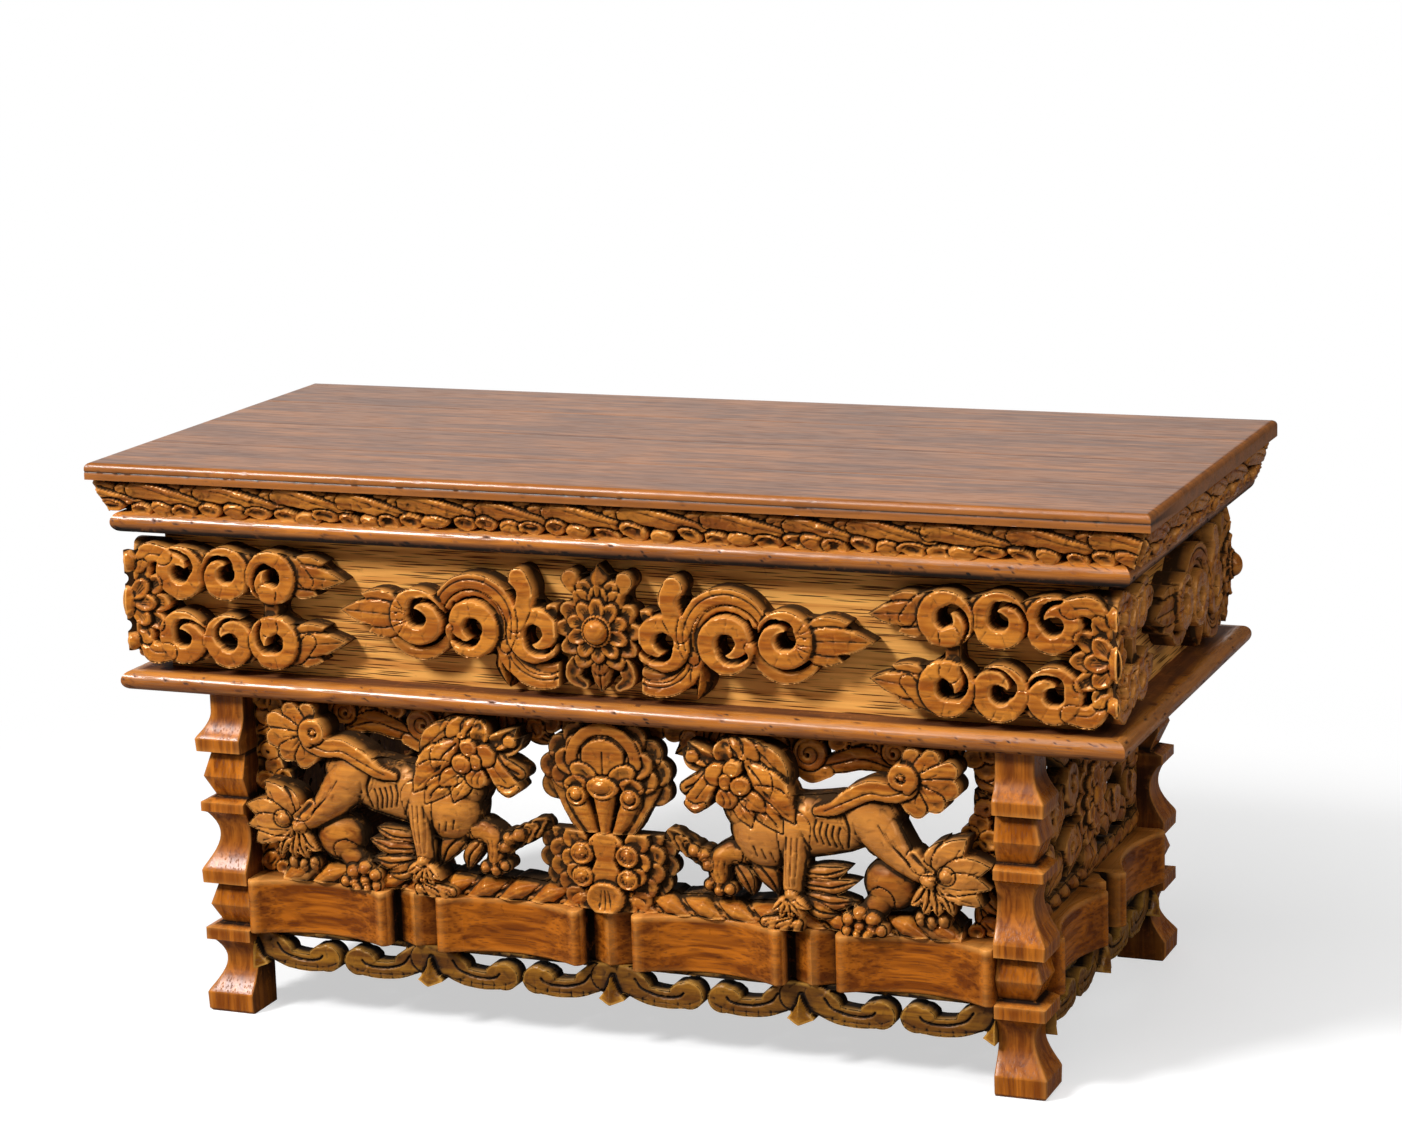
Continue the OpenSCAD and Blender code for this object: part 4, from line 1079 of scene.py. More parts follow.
@dataclass
class FriezeCarving:
    """Scroll ornaments fixed to the front and side boards of the frieze.

    Attributes:
        middle_z: Height of the ornaments' middle line in millimetres.
        front_y: Y of the front board's face.
        side_x: X of the side boards' faces.
        proud: Height of the scrolls' faces over the boards.
        rosette_half: Half width of the centre rosette.
        pitch: Grid pitch of the carving.
    """

    middle_z: float = 301.5
    front_y: float = -147.0
    side_x: float = 344.0
    proud: float = 22.0
    rosette_half: float = 31.0
    pitch: float = 0.75

    def draw_rosette(self, r: Relief) -> None:
        """Draw the right half of the centre flower, with its boss on u = 0.

        Args:
            r: Relief to draw on.
        """
        z = self.middle_z
        r.oval((0, z), 25, crest=13, base=8, section=FLAT)
        r.leaf((0, z + 18), (0, z + 45), 9.5, (19, 20, 17), section=RIDGED, base=12)
        r.sweep([(10, z + 16), (15, z + 26), (20, z + 35)], (5, 5, 6.5), (17, 18, 18), 9, FLAT)
        r.cut([(12, z + 20), (17, z + 30)], 0.9, 0.9)
        r.oval((9, z + 27), 8, 6, 60, 17.5, 10, HOLLOW)
        r.sweep([(10, z - 18), (18, z - 25), (20, z - 34), (13, z - 40)], (4, 6, 5.5, 3),
                (16, 17, 17, 15), 8, HOLLOW)
        r.leaf((0, z - 16), (0, z - 43), 8, (18, 18, 16), base=9)
        for k in (-1, 1):
            r.cut([(1.5 * k, z - 20), (4 * k, z - 36)], 0.9, 0.9)
        veins = (-4, 3, 2, 0.5)
        r.ring((0, z), 22.5, range(0, 360, 30), (9, 7), 17.5, 10.5, veins=veins)
        r.ring((0, z), 15, range(18, 378, 36), (8, 5.6), 20.5, 13.5, veins=veins)
        beads = 26
        for k in range(beads):
            r.oval(polar((0, z), 10, 360 * k / beads), 1.5, crest=22.6, base=20, trench=0.4)
        r.oval((0, z), 8.8, crest=28, base=21.5)

    def draw_spray(self, r: Relief) -> None:
        """Draw the scrolls that run from the rosette to the right.

        Args:
            r: Relief to draw on.
        """
        z, top = self.middle_z, self.proud
        r.sweep([(24, z - 33), (36, z - 38), (50, z - 37), (64, z - 29), (72, z - 15), (75, z + 2)],
                (4, 5.5, 6.5, 6.5, 6, 5), (16, 18, 18, 18, 18, 17), 8, FLAT)
        r.sweep([(28, z - 26), (38, z - 30), (50, z - 29), (60, z - 22)], (2.5, 3.5, 3.5, 2.5), 16,
                8, FLAT)
        r.cut([(26, z - 33), (37, z - 37), (50, z - 36), (63, z - 28), (70, z - 14)], 1.0, 1.4)
        r.leaf((75, z - 16), (70, z - 45), 7, (17, 18, 15), 0.06, RIDGED, 8)
        r.oval((32, z + 9), 9, 6.5, 30, 17, 8, HOLLOW)
        r.oval((33, z - 5), 8, 6.5, 0, 16, 8, HOLLOW)
        r.curl((48, z - 6), 20, 150, 1, top - 1)
        r.sweep([(61, z + 2), (55, z + 14), (53, z + 25), (57, z + 34)], (6.5, 6.5, 6.5, 7.4),
                (top - 2, top - 1, top, top), 9, FLAT)
        r.sweep(circle_line((94, z), 29, 212, -200, 16), (4.5, 6.2, 6.2, 5.5, 3.5),
                (18, 19, 19, 18, 17), 8, FLAT)
        r.cut(circle_line((94, z), 30.5, 200, -180, 14), 1.0, 1.3)
        r.sweep(circle_line((94, z - 2), 22.5, 195, -165, 14), 2.6, 17, 8, FLAT)
        r.curl((94, z - 4), 20.5, 40, -1, top)
        r.sweep(circle_line((136, z), 25, 190, 135, 12), (3, 4.5, 3), 16.5, 8, FLAT)
        r.curl((136, z + 2), 20.5, 205, -1, top)
        self.leaf_end(r, (153, z + 2), 44, 0)

    def leaf_end(self, r: Relief, foot: Point, length: float, turn: float) -> None:
        """Draw a three-lobed leaf that ends a row of scrolls.

        Args:
            r: Relief to draw on.
            foot: Foot of the leaf.
            length: Length of the middle lobe.
            turn: Angle of the leaf in degrees.
        """
        c, s = math.cos(math.radians(turn)), math.sin(math.radians(turn))

        def at(along: float, across: float) -> Point:
            """Point of the leaf in shares of its length."""
            return (foot[0] + length * (along * c - across * s),
                    foot[1] + length * (along * s + across * c))

        for side, reach in ((-1, 0.5), (1, 0.62)):
            r.leaf(at(-0.1, 0.04 * side), at(reach, 0.3 * side), 0.2 * length, (17, 18, 16),
                   0.04 * side, FLAT, 9)
        r.leaf(at(-0.1, 0), at(1, 0.02), 0.22 * length, (18, 18.5, 15), 0.0, FLAT, 9)
        r.cut([at(0.1, 0), at(0.5, 0.02), at(0.9, 0.02)], 0.8, 0.9)

    def draw_bracket(self, r: Relief, scrolls: int, size: float) -> None:
        """Draw two rows of scrolls and the half flower at the corner.

        Args:
            r: Relief with the frieze corner at u = 0 and the scrolls towards +u.
            scrolls: Scrolls in a row.
            size: Outer radius of a scroll.
        """
        z, top = self.middle_z, self.proud
        pitch = 1.95 * size
        places = [size + 3 + pitch * k for k in range(scrolls)]
        for row in (-1, 1):
            rz = z + row * 23.5
            self.leaf_end(r, (places[-1] + size - 4, rz + 2 * row), 40, -5 * row)
            for x in places:
                r.sweep([(x + 0.2 * pitch, rz + row * 0.72 * size),
                         (x + 0.5 * pitch, rz + row * 0.5 * size),
                         (x + 0.75 * pitch, rz - row * 0.1 * size)], 0.27 * size, top - 4, 8, FLAT)
            for k, x in enumerate(places):
                r.curl((x, rz + row * (k % 2)), size + 0.8, 90 * row + 70 + 50 * k, -row,
                       top - 0.8 * (k % 2))
            r.sweep([(10, rz + 12 * row), (-3, rz + 13 * row), (-13, rz + 3 * row)], (6.5, 7.5, 6),
                    (21, 21, 19), 8, FLAT)
            r.cut([(8, rz + 12 * row), (-3, rz + 12 * row), (-10, rz + 5 * row)], 0.9, 1.0)
        last = places[-1] - 3
        r.sweep([(last, z - 12), (last, z + 12)], (7, 5.5, 5.5, 7), 16, 8, FLAT)
        corner = 2 - self.proud
        for radius, half, crest, angles in ((22, (9.5, 7), 19, range(-64, 65, 32)),
                                            (12, (9, 6.6), 22, (-46, 0, 46))):
            r.ring((corner, z), radius, angles, half, crest, crest - 8, tall=1.1, trench=2,
                   veins=(-6, 4, 2.2, 0.6))
        r.oval((corner - 2, z), 6.5, 12.5, crest=25, base=19)
        r.oval((corner, z + 30), 6, 8.5, crest=23, base=15)
        r.oval((corner, z - 29), 6.5, 7, crest=23.5, base=15)

    def rosette(self) -> Relief:
        """Centre flower of the front.

        Returns:
            The relief.
        """
        r = Relief((0, 34), (254, 350), self.pitch)
        self.draw_rosette(r)
        half = self.rosette_half
        return r.mirror().whittle(5, 0.25, 21).ground().clip(us=(-half, half))

    def spray(self) -> Relief:
        """Right-hand spray of the front.

        Returns:
            The relief.
        """
        r = Relief((self.rosette_half - 2, 202), (254, 350), self.pitch)
        self.draw_spray(r)
        return r.whittle(8, 0.4, 23).ground().clip(us=(self.rosette_half, 200))

    def side_spray(self) -> Relief:
        """Half flower and spray of a side board, measured from its back corner.

        Returns:
            The relief.
        """
        r = Relief((0, 202), (254, 350), self.pitch)
        self.draw_rosette(r)
        self.draw_spray(r)
        return r.whittle(8, 0.4, 25).ground().clip(us=(0, 200))

    def bracket(self, scrolls: int, size: float) -> Relief:
        """Corner bracket, measured from the frieze corner.

        Args:
            scrolls: Scrolls in a row.
            size: Outer radius of a scroll.

        Returns:
            The relief.
        """
        r = Relief((-self.proud - 2, 170), (252, 352), self.pitch)
        self.draw_bracket(r, scrolls, size)
        return r.whittle(8, 0.4, 27).ground().clip(us=(-self.proud, 168))

    def build(self, finish: BothWays) -> None:
        """Make the ornaments.

        Args:
            finish: Finish with its grain along each side.
        """
        def mitre(u: np.ndarray) -> np.ndarray:
            """Back of a bracket beyond the frieze corner, cut at 45 degrees."""
            return np.clip(-u, 0, None)

        spray, side_spray = self.spray(), self.side_spray()
        front_bracket, side_bracket = self.bracket(3, 18.7), self.bracket(2, 14.0)
        finish_piece(self.rosette().build("rosette_carving", front_place(self.front_y)),
                     ["rosette_front"], finish.front)
        for name, side in HANDS:
            corner = (side * self.side_x * MM, self.front_y * MM, 0)
            back_corner = (side * self.side_x * MM, -self.front_y * MM, 0)
            front_spot = Placement(corner, (-side, 0, 0), UP, (0, -1, 0))
            side_spot = Placement(corner, (0, 1, 0), UP, (side, 0, 0))
            back_spot = Placement(back_corner, (0, -1, 0), UP, (side, 0, 0))
            for kind, face, relief, place, floor, wood in (
                    ("spray", "front", spray, front_place(self.front_y, side), None, finish.front),
                    ("bracket", "front", front_bracket, front_spot, mitre, finish.front),
                    ("bracket", "side", side_bracket, side_spot, mitre, finish.side),
                    ("spray", "side", side_spray, back_spot, None, finish.side)):
                obj = relief.build(f"{kind}_carving_{face}_{name}", place, floor)
                finish_piece(obj, [f"{kind}_{face}_{name}"], wood)


@dataclass
class Cornice:
    """Leaning sticks under the top, carved with overlapping leaves on three sides.

    Attributes:
        half_w: Half the width across the upper edges in millimetres.
        half_d: Half the depth across the upper edges.
        bottom_z: Height of the underside.
        rise: Height of the sticks.
        lean: How far the face leans inwards.
        member: Width of a stick.
        slab: Thickness of wood behind the carved face.
        pitch: Grid pitch of the carving.
    """

    half_w: float = 386.0
    half_d: float = 172.0
    bottom_z: float = 367.0
    rise: float = 24.0
    lean: float = 9.0
    member: float = 52.0
    slab: float = 9.0
    pitch: float = 0.8

    def band(self, half: float, seed: int) -> Relief:
        """Draw the carved band of one stick.

        Args:
            half: Half the length of the stick's lower edge.
            seed: Seed of the leaves' sizes.

        Returns:
            The relief, with u along the stick and v up its leaning face.
        """
        slope = math.hypot(self.rise, self.lean)
        rng = np.random.default_rng(seed)
        r = Relief((-half - 12, half + 12), (-2, slope + 2), self.pitch)
        face, wall = self.slab, self.slab - 6
        r.sweep([(-half - 20, slope / 2), (half + 20, slope / 2)], slope / 2 + 4, 2.6, 2.5, FLAT)
        x = -half - 40.0
        while x < half + 10:
            step, lift = rng.uniform(44, 62), rng.uniform(-1.2, 1.2)
            for k in range(3):
                u, size = x + step * (0.42 + 0.25 * k), rng.uniform(8, 11)
                r.oval((u, 20.5 - 1.6 * k), size, rng.uniform(4.5, 6), -14, face + 0.8 * k, wall,
                       FLAT, 2)
                r.cut([(u - 0.6 * size, 21 - 1.6 * k), (u, 23 - 1.6 * k),
                       (u + 0.6 * size, 20.5 - 1.6 * k)], 0.9, 0.8)
            r.sweep([(x + 2, 17 + lift), (x + 0.35 * step, 16.5 + lift),
                     (x + 0.75 * step, 12 + lift), (x + 1.1 * step, 8)], (6, 7.2, 6.4, 4.6, 2),
                    (face + 1, face + 4, face + 1.5), wall, FLAT, 3)
            r.cut([(x - 2, 20 + lift), (x + 6, 21.5 + lift), (x + 0.5 * step, 17 + lift),
                   (x + 0.95 * step, 10)], 0.9, 0.9)
            for k in range(3):
                shift, size = rng.uniform(-0.05, 0.05), rng.uniform(8, 11)
                u, v = x + step * (0.1 + 0.33 * k + shift), rng.uniform(2.5, 6.5)
                r.oval((u, v), size, rng.uniform(4.4, 6.4), rng.uniform(-22, 4),
                       face + 4 + 1.2 * (k % 2), wall, FLAT if k % 2 else HOLLOW, 3)
                r.cut([(u - 0.7 * size, v + 1), (u - 0.2 * size, v + 3.6),
                       (u + 0.6 * size, v + 1.4)], 1.0, 1.1)
            x += step
        return r.whittle(6, 0.45, seed).clip(us=(-half - 9, half + 9), vs=(0, slope))

    def core(self, half: float, out: float) -> np.ndarray:
        """Rows of the plain mitred stick behind the carving.

        Args:
            half: Half length of the upper edge.
            out: Distance of the upper edge from the middle.

        Returns:
            Two rows of points: along the stick, outwards and up.
        """
        inset = self.slab * 0.8
        low, high = self.bottom_z, self.bottom_z + self.rise
        profile = ((inset + self.lean, low), (inset, high), (self.member, high), (self.member, low))
        return np.array([[(end * (half - d), out - d, z) for d, z in profile] for end in (-1, 1)])

    def build(self, finish: BothWays) -> None:
        """Make the three carved sticks.

        Args:
            finish: Finish with its grain along each side.
        """
        slope = math.hypot(self.rise, self.lean)
        up, out = self.rise / slope, self.lean / slope
        for side, seed in ((Side.FRONT, 31), (Side.RIGHT, 33), (Side.LEFT, 35)):
            name, (along, away, upright) = side.name.lower(), side.axes
            half, reach = side.pick((self.half_w, self.half_d), (self.half_d, self.half_w))
            normal = up * away - out * upright
            foot = (reach - self.lean) * away + self.bottom_z * upright - self.slab * normal
            place = Placement(tuple(foot * MM), tuple(along), tuple(up * upright + out * away),
                              tuple(normal))
            relief = self.band(half - self.lean, seed)
            limit = half - self.lean + relief.v[:, None] * out
            np.minimum(relief.inside, limit - np.abs(relief.u[None, :]), out=relief.inside)
            carved = relief.build(f"cornice_carving_{name}", place)
            rows = self.core(half, reach) @ side.axes * MM
            # The plain stick behind the leaves is painted dark, as the shade between them.
            stick = loft(f"cornice_core_{name}", rows, recess=np.full(rows.size // 3, 0.5))
            for piece in (stick, carved):
                finish_piece(piece, [f"cornice_{name}"], side.pick(*finish))


@dataclass
class Legs:
    """Four square posts with necks, fillets and diamonds on their outer faces.

    Attributes:
        size: Width of a leg in millimetres.
        height: Height up to the waist.
        span_w: Distance across the outer faces along the front.
        span_d: Distance across the outer faces from front to back.
        arris: Radius worn onto the corners.
        neck: Depth of the hollow necks in the outer faces.
    """

    size: float = 37.0
    height: float = 237.0
    span_w: float = 634.0
    span_d: float = 344.0
    arris: float = 1.3
    neck: float = 11.5

    def cut(self, z: np.ndarray) -> np.ndarray:
        """Depth of the cut in the outer faces.

        Args:
            z: Heights above the floor in millimetres.

        Returns:
            Depth of the cut at each height.
        """
        neck = self.neck
        root, brow, tip = neck - 0.5, neck - 2.2, neck - 7.1

        def hollow(low: float, high: float) -> list[Point]:
            """Points of a hollow neck between two heights."""
            return [(low + (high - low) * s, neck * math.sin(math.pi * (0.9 * s) ** 1.1) ** 0.9)
                    for s in np.linspace(0.05, 0.98, 12)]

        line = [(0, 2), (2, 0.4), (14, 0), *hollow(14.5, 54),
                (54.3, 1), (63, 1), (65.5, root), (80, tip), (95.5, brow), (97, 1), (106, 0.6),
                *hollow(106, 150),
                (150.3, 2), (157, 2), (160.5, root), (176, tip), (193.5, brow), (195, 1.4),
                (204, 0.8)]
        line += [(204 + 19 * s, (neck - 1.5) * math.sin(math.pi / 2 * s) ** 0.9)
                 for s in np.linspace(0.1, 1, 8)]
        return np.interp(z, *np.asarray(line).T)

    def ring(self, outer: float) -> tuple[np.ndarray, np.ndarray]:
        """Cross-section of a leg, measured from its inner corner.

        Args:
            outer: Place of the two outer faces.

        Returns:
            Points round the section, and how much each lies on a rounded corner, which is painted
            paler as rubbing and a painted highlight.
        """
        points, worn = [], []
        run = outer - 2 * self.arris
        sides = 9
        for k, (cx, cy) in enumerate(((0, 0), (1, 0), (1, 1), (0, 1))):
            centre = self.arris + run * np.array([cx, cy])
            for a in np.radians(180 + 90 * k + np.linspace(0, 90, 5)):
                points.append(centre + self.arris * np.array([math.cos(a), math.sin(a)]))
                worn.append(1.0)
            way = np.array(((1, 0), (0, 1), (-1, 0), (0, -1))[k])
            start, step = points[-1], way * run / (sides + 1)
            points += [start + s * step for s in range(1, sides + 1)]
            worn += [0.0] * sides
        return np.asarray(points), np.asarray(worn)

    def shape(self) -> tuple[np.ndarray, np.ndarray, np.ndarray]:
        """Loft of one leg.

        Returns:
            Rows of points in millimetres from the inner corner, the darkening, which is painted
            shade, and the paling, which is rubbing and painted highlights.
        """
        breaks = (0, 2, 14, 54, 54.3, 63, 65.5, 80, 95.5, 97, 106, 150, 150.3, 157, 160.5, 176,
                  193.5, 195, 204, 237)
        z = np.unique(np.concatenate([np.arange(0, self.height, 1.25), breaks,
                                      [b - 0.4 for b in breaks[1:]]]))
        z = z[z <= self.height]
        cut = self.cut(z)
        about = 9
        broad = np.convolve(np.pad(cut, about // 2, mode="edge"), np.ones(about) / about, "valid")
        proud, deep = np.clip((broad - cut) / 3, 0, 1), np.clip((cut - broad) / 3, 0, 1)
        rows, recess, wear = [], [], []
        for height, depth, high, low in zip(z, cut, proud, deep):
            ring, worn = self.ring(self.size - depth)
            rows.append(np.column_stack([ring, np.full(len(ring), height)]))
            # Painted shade on the inner faces and in the deep parts of the cuts; the corners and
            # proud fillets paler, as rubbing and painted highlights.
            inner = ring.min(axis=1) < 0.2
            recess.append(0.6 * low + 0.008 * depth + 0.3 * inner)
            wear.append(np.clip(0.3 * worn + 0.45 * high, 0, 1))
        return np.asarray(rows), np.concatenate(recess), np.concatenate(wear)

    def build(self, finish: Material) -> None:
        """Make the four legs.

        Args:
            finish: Finish of the frame's wood.
        """
        rows, recess, wear = self.shape()
        corner = np.array([self.span_w / 2 - self.size, self.span_d / 2 - self.size, 0])
        for name, way in (("front_left", (-1, -1, 1)), ("front_right", (1, -1, 1)),
                          ("back_left", (-1, 1, 1)), ("back_right", (1, 1, 1))):
            placed = (rows + corner) * np.array(way) * MM
            obj = loft(f"leg_post_{name}", placed, recess=recess, wear=wear)
            finish_piece(obj, [f"leg_{name}"], finish)


@dataclass
class Rails:
    """Front and side rails with hollow panels, pointed ridges between them and wave scrolls below.

    Attributes:
        low_z: Height of the underside in millimetres.
        rise: Height of a rail.
        depth: Thickness of a rail.
        hollow: Depth of the hollow panels.
        notch: Depth of the notches beside a ridge.
        peak: How far a ridge stays behind the foremost line.
        ridge: Width of a notch with its ridge.
        round_end: Radius of a panel's ends.
        arris: Radius worn onto the long edges.
        drop: Drop of the wave scrolls.
        apron_t: Thickness of the wave scrolls.
        front: Length, panels and distance from the middle of the front rail.
        side: Length, panels and distance from the middle of a side rail.
    """

    low_z: float = 62.0
    rise: float = 40.0
    depth: float = 36.0
    hollow: float = 14.0
    notch: float = 18.0
    peak: float = 8.0
    ridge: float = 38.0
    round_end: float = 5.0
    arris: float = 1.6
    drop: float = 28.0
    apron_t: float = 14.0
    front: tuple[float, int, float] = (560.0, 4, 173.0)
    side: tuple[float, int, float] = (270.0, 2, 318.0)

    def edge(self, length: float, panels: int) -> np.ndarray:
        """Plan of a rail's front edge, as points along it and behind its foremost line.

        Args:
            length: Length of the rail.
            panels: Number of hollow panels.

        Returns:
            Points from end to end.
        """
        panel = (length - (panels - 1) * self.ridge) / panels
        r, half, climb = self.round_end, self.ridge / 2, self.notch - self.peak
        line: list[Point] = []
        for k in range(panels):
            u0 = -length / 2 + k * (panel + self.ridge)
            u1 = u0 + panel
            if k:
                line.append((u0, -self.notch))
            line += circle_line((u0 + r, -r), r, 180, -90, 6)
            line += [(u0 + r + (panel - 2 * r) * s, -self.hollow * (1 - (2 * s - 1) ** 2))
                     for s in np.linspace(0, 1, 42)[1:-1]]
            line += circle_line((u1 - r, -r), r, 90, -90, 6)
            if k < panels - 1:
                line.append((u1, -self.notch))
                line += [(u1 + half * s, climb * (1 - abs(1 - s)) ** 1.4 - self.notch)
                         for s in np.linspace(0, 2, 15)[1:-1]]
        return np.asarray(line)

    def shape(self, length: float, panels: int) -> tuple[np.ndarray, np.ndarray, np.ndarray]:
        """Loft of one rail along its length.

        Args:
            length: Length of the rail.
            panels: Number of hollow panels.

        Returns:
            Rows of points (along, behind the front line, up), the darkening and the paling, which
            carry painted shade and painted highlights.
        """
        line = self.edge(length, panels)
        # Painted shade in the hollow curves, and darker towards the notches and the rail's ends;
        # the convex parts paler, as rubbing and painted highlights.
        slope = np.gradient(np.gradient(line[:, 1]))
        ends = np.append(line[line[:, 1] <= -self.notch + 0.01, 0], (-length / 2, length / 2))
        burnt = np.exp(-np.abs(line[:, 0, None] - ends).min(1) / 11)
        proud, deep = np.clip(-slope / 1.2, 0, 1), np.clip(slope / 1.2 + 0.3 * burnt, 0, 1)
        a = self.arris
        face = [(0.0, z) for z in np.linspace(a, self.rise - a, 14)[1:-1]]
        lower, upper = (circle_line((-a, z), a, start, 90, 4)
                        for z, start in ((a, -90), (self.rise - a, 0)))
        section = lower + face + upper
        # The upper arris is painted paler than the lower one, as rubbing and a painted highlight.
        worn = np.repeat((0.2, 0.0, 1.0), (len(lower), len(face), len(upper)))
        back = [(-self.depth, self.rise), (-self.depth, 0.0)]
        rows, recess, wear = [], [], []
        for (u, y), high, low in zip(line, proud, deep):
            rows.append([(u, y + dy, self.low_z + dz) for dy, dz in section]
                        + [(u, dy, self.low_z + dz) for dy, dz in back])
            # The back is darkened evenly.
            recess += [0.75 * low] * len(section) + [0.4] * len(back)
            wear += [*(0.6 * worn + 0.4 * high)] + [0.0] * len(back)
        return np.asarray(rows), np.asarray(recess), np.asarray(wear)

    def waves(self, length: float, pairs: int) -> Relief:
        """Draw the wave scrolls of one rail.

        Args:
            length: Length of the rail.
            pairs: Pairs of scrolls.

        Returns:
            The relief, with u along the rail.
        """
        half = length / pairs / 2
        k = half / 70
        end, top, low = length / 2, self.low_z, self.low_z - self.drop
        t, wall = self.apron_t, self.apron_t - 8
        r = Relief((-end - 2, end + 2), (low - 2, top + 2), 0.75)
        r.sweep([(-end - 9, top), (end + 9, top)], 3.4, t - 4, wall, FLAT)
        for pair in range(pairs):
            for sign in (-1, 1):
                foot = -end + (2 * pair + 1) * half - sign * half

                def at(*places: Point) -> list[Point]:
                    """Points of this scroll, from its outer end and the lowest line."""
                    return [(foot + sign * k * x, low + z) for x, z in places]

                r.sweep(at((-5, 18.5), (10, 17.5), (21, 13.5)), (10.5, 10.5, 8), (t - 2, t - 1, t),
                        wall, FLAT)
                r.sweep(at((14, 13), (26, 8.3), (40, 6.8), (52, 8)), (7, 6.6, 6.4, 6.6),
                        (t - 1, t, t + 1), wall, FLAT, 0)
                r.oval(*at((57.5, 11.4)), 10.8, 10, 0, t + 1.2, wall, FLAT, 0)
                r.sweep(at((58, 13), (51, 15.4), (47, 14)), (6.5, 5, 3.6), t + 1.4, wall, FLAT, 0)
                r.cut(at((17, 19), (22, 13), (32, 9.4), (43, 8.6), (51, 10.4), (54, 13)), 1.1, 2.6)
                r.cut(at((2, 9), (20, 5.2), (40, 4), (56, 5), (66, 9)), 0.8, 0.6)
                for x in (22, 31, 40, 49, 58):
                    r.cut(at((x, 0), (x + 0.5, 6)), 0.8, 0.7)
        for pair in range(pairs + 1):
            x = -end + 2 * pair * half
            spot = r.window(np.array((x - 15, low - 2)), np.array((x + 15, top)))
            uu, vv = np.meshgrid(np.abs(r.u[spot[1]] - x), r.v[spot[0]] - low)
            flare = 0.6 + 12.4 * np.clip(1 - vv / 21, 0, 1) ** 1.7
            inside = np.minimum(np.minimum(flare - uu, vv - 0.35 * uu), 20.5 - vv)
            r.lay(spot, inside, t + 6.5 - 5 * np.clip(uu / flare, 0, 1), 2.0)
        return r.whittle(7, 0.35, 41).clip(us=(-end, end), vs=(low, top))

    def build(self, finish: BothWays, apron_finish: BothWays) -> None:
        """Make the rails and their wave scrolls.

        Args:
            finish: Finish of the rails.
            apron_finish: Finish of the wave scrolls.
        """
        for side in (Side.FRONT, Side.RIGHT, Side.LEFT):
            name, (along, away, _) = side.name.lower(), side.axes
            length, panels, reach = side.pick(self.front, self.side)
            rows, recess, wear = self.shape(length, panels)
            placed = (rows @ side.axes + reach * away) * MM
            obj = loft(f"rail_bar_{name}", placed, recess=recess, wear=wear)
            finish_piece(obj, [f"rail_{name}"], side.pick(*finish))
            back = (reach - self.depth / 2 - self.apron_t / 2) * away
            place = Placement(tuple(back * MM), tuple(along), UP, tuple(away))
            apron = self.waves(length, panels).build(f"apron_carving_{name}", place)
            finish_piece(apron, [f"apron_{name}"], side.pick(*apron_finish))


@dataclass
class SidePanels:
    """Pierced leaf carving between the legs of each side.

    Attributes:
        floor_z: Height of the rails' top in millimetres.
        roof_z: Height of the waist's underside.
        half: Half the width between the legs.
        back_x: Distance of the flat back from the middle.
        pitch: Grid pitch of the carving.
    """

    floor_z: float = 102.0
    roof_z: float = 237.0
    half: float = 135.0
    back_x: float = 285.5
    pitch: float = 0.9

    def carving(self) -> Relief:
        """Draw the flower and leaf scrolls, mirrored about the middle.

        Returns:
            The relief.
        """
        f, t = self.floor_z, self.roof_z
        r = Relief((0, self.half + 2), (f - 2, t + 2), self.pitch)
        for z in (f + 3, t - 3):
            r.sweep([(0, z), (self.half + 6, z)], 6, 10, 6, FLAT)
        r.sweep([(self.half, f - 4), (self.half, t + 4)], 7, 10, 6, FLAT)
        for k in range(6):
            r.sweep([(22 * k + 3, f + 4), (22 * k + 14, f + 9), (22 * k + 25, f + 10)], (4, 6, 3.5),
                    (12, 14, 12), 7)
        r.lobes([(12 + 23 * k, t - 9, 10) for k in range(6)], 0.8, 25, 13, 2, 7)
        for crest, row in ((14, (4, f + 90, 0, t - 8, 12)), (15, (10, f + 86, 44, t - 14, 12)),
                           (15, (14, f + 46, 52, f + 18, 11)), (14, (24, f + 64, 74, f + 66, 11)),
                           (15, (48, f + 100, 92, t - 20, 11)), (14, (60, f + 34, 100, f + 16, 10)),
                           (15, (92, f + 62, 133, f + 52, 11)), (15, (96, f + 82, 134, f + 96, 10)),
                           (13, (98, f + 30, 133, f + 24, 9)),
                           (13, (100, f + 106, 133, f + 116, 9)),
                           (14, (0, f + 30, 0, f + 6, 14)), (16, (70, f + 84, 84, f + 50, 9))):
            r.leaves([row], (crest - 2, crest + 2, crest - 3), 0.12, base=7)
        r.volute((52, f + 82), 19, 200, -1.25, (6.4, 4.4), (15, 18), 8)
        r.volute((56, f + 42), 17, 150, 1.25, (6, 4.2), (15, 18), 8)
        r.volute((99, f + 72), 18, 180, -1.3, (6, 4.2), (15, 18), 8)
        r.volute((104, f + 42), 14, 120, 1.2, (5, 3.6), (14, 17), 8)
        r.ring((0, f + 62), 25, np.arange(11) * 360 / 11, (11, 8), 16, 9)
        r.ring((0, f + 62), 15, range(0, 360, 40), (9, 6.5), 19, 12)
        r.oval((0, f + 62), 8, crest=22, base=17)
        return r.mirror().whittle(7, 0.4, 51).clip(us=(-self.half, self.half), vs=(f, t))

    def build(self, finish: Material) -> None:
        """Make the two side panels.

        Args:
            finish: Finish of the carved wood.
        """
        carving = self.carving()
        for name, side in HANDS:
            place = Placement((side * self.back_x * MM, 0, 0), (0, 1, 0), UP, (side, 0, 0))
            panel = carving.build(f"side_panel_{name}", place)
            finish_piece(panel, [f"side_carving_{name}"], finish)


def linear(hex_colour: str) -> tuple[float, float, float, float]:
    """Linear colour of an sRGB hex value."""
    parts = [int(hex_colour[k:k + 2], 16) / 255 for k in (1, 3, 5)]
    return (*(c / 12.92 if c <= 0.04045 else ((c + 0.055) / 1.055) ** 2.4 for c in parts), 1.0)


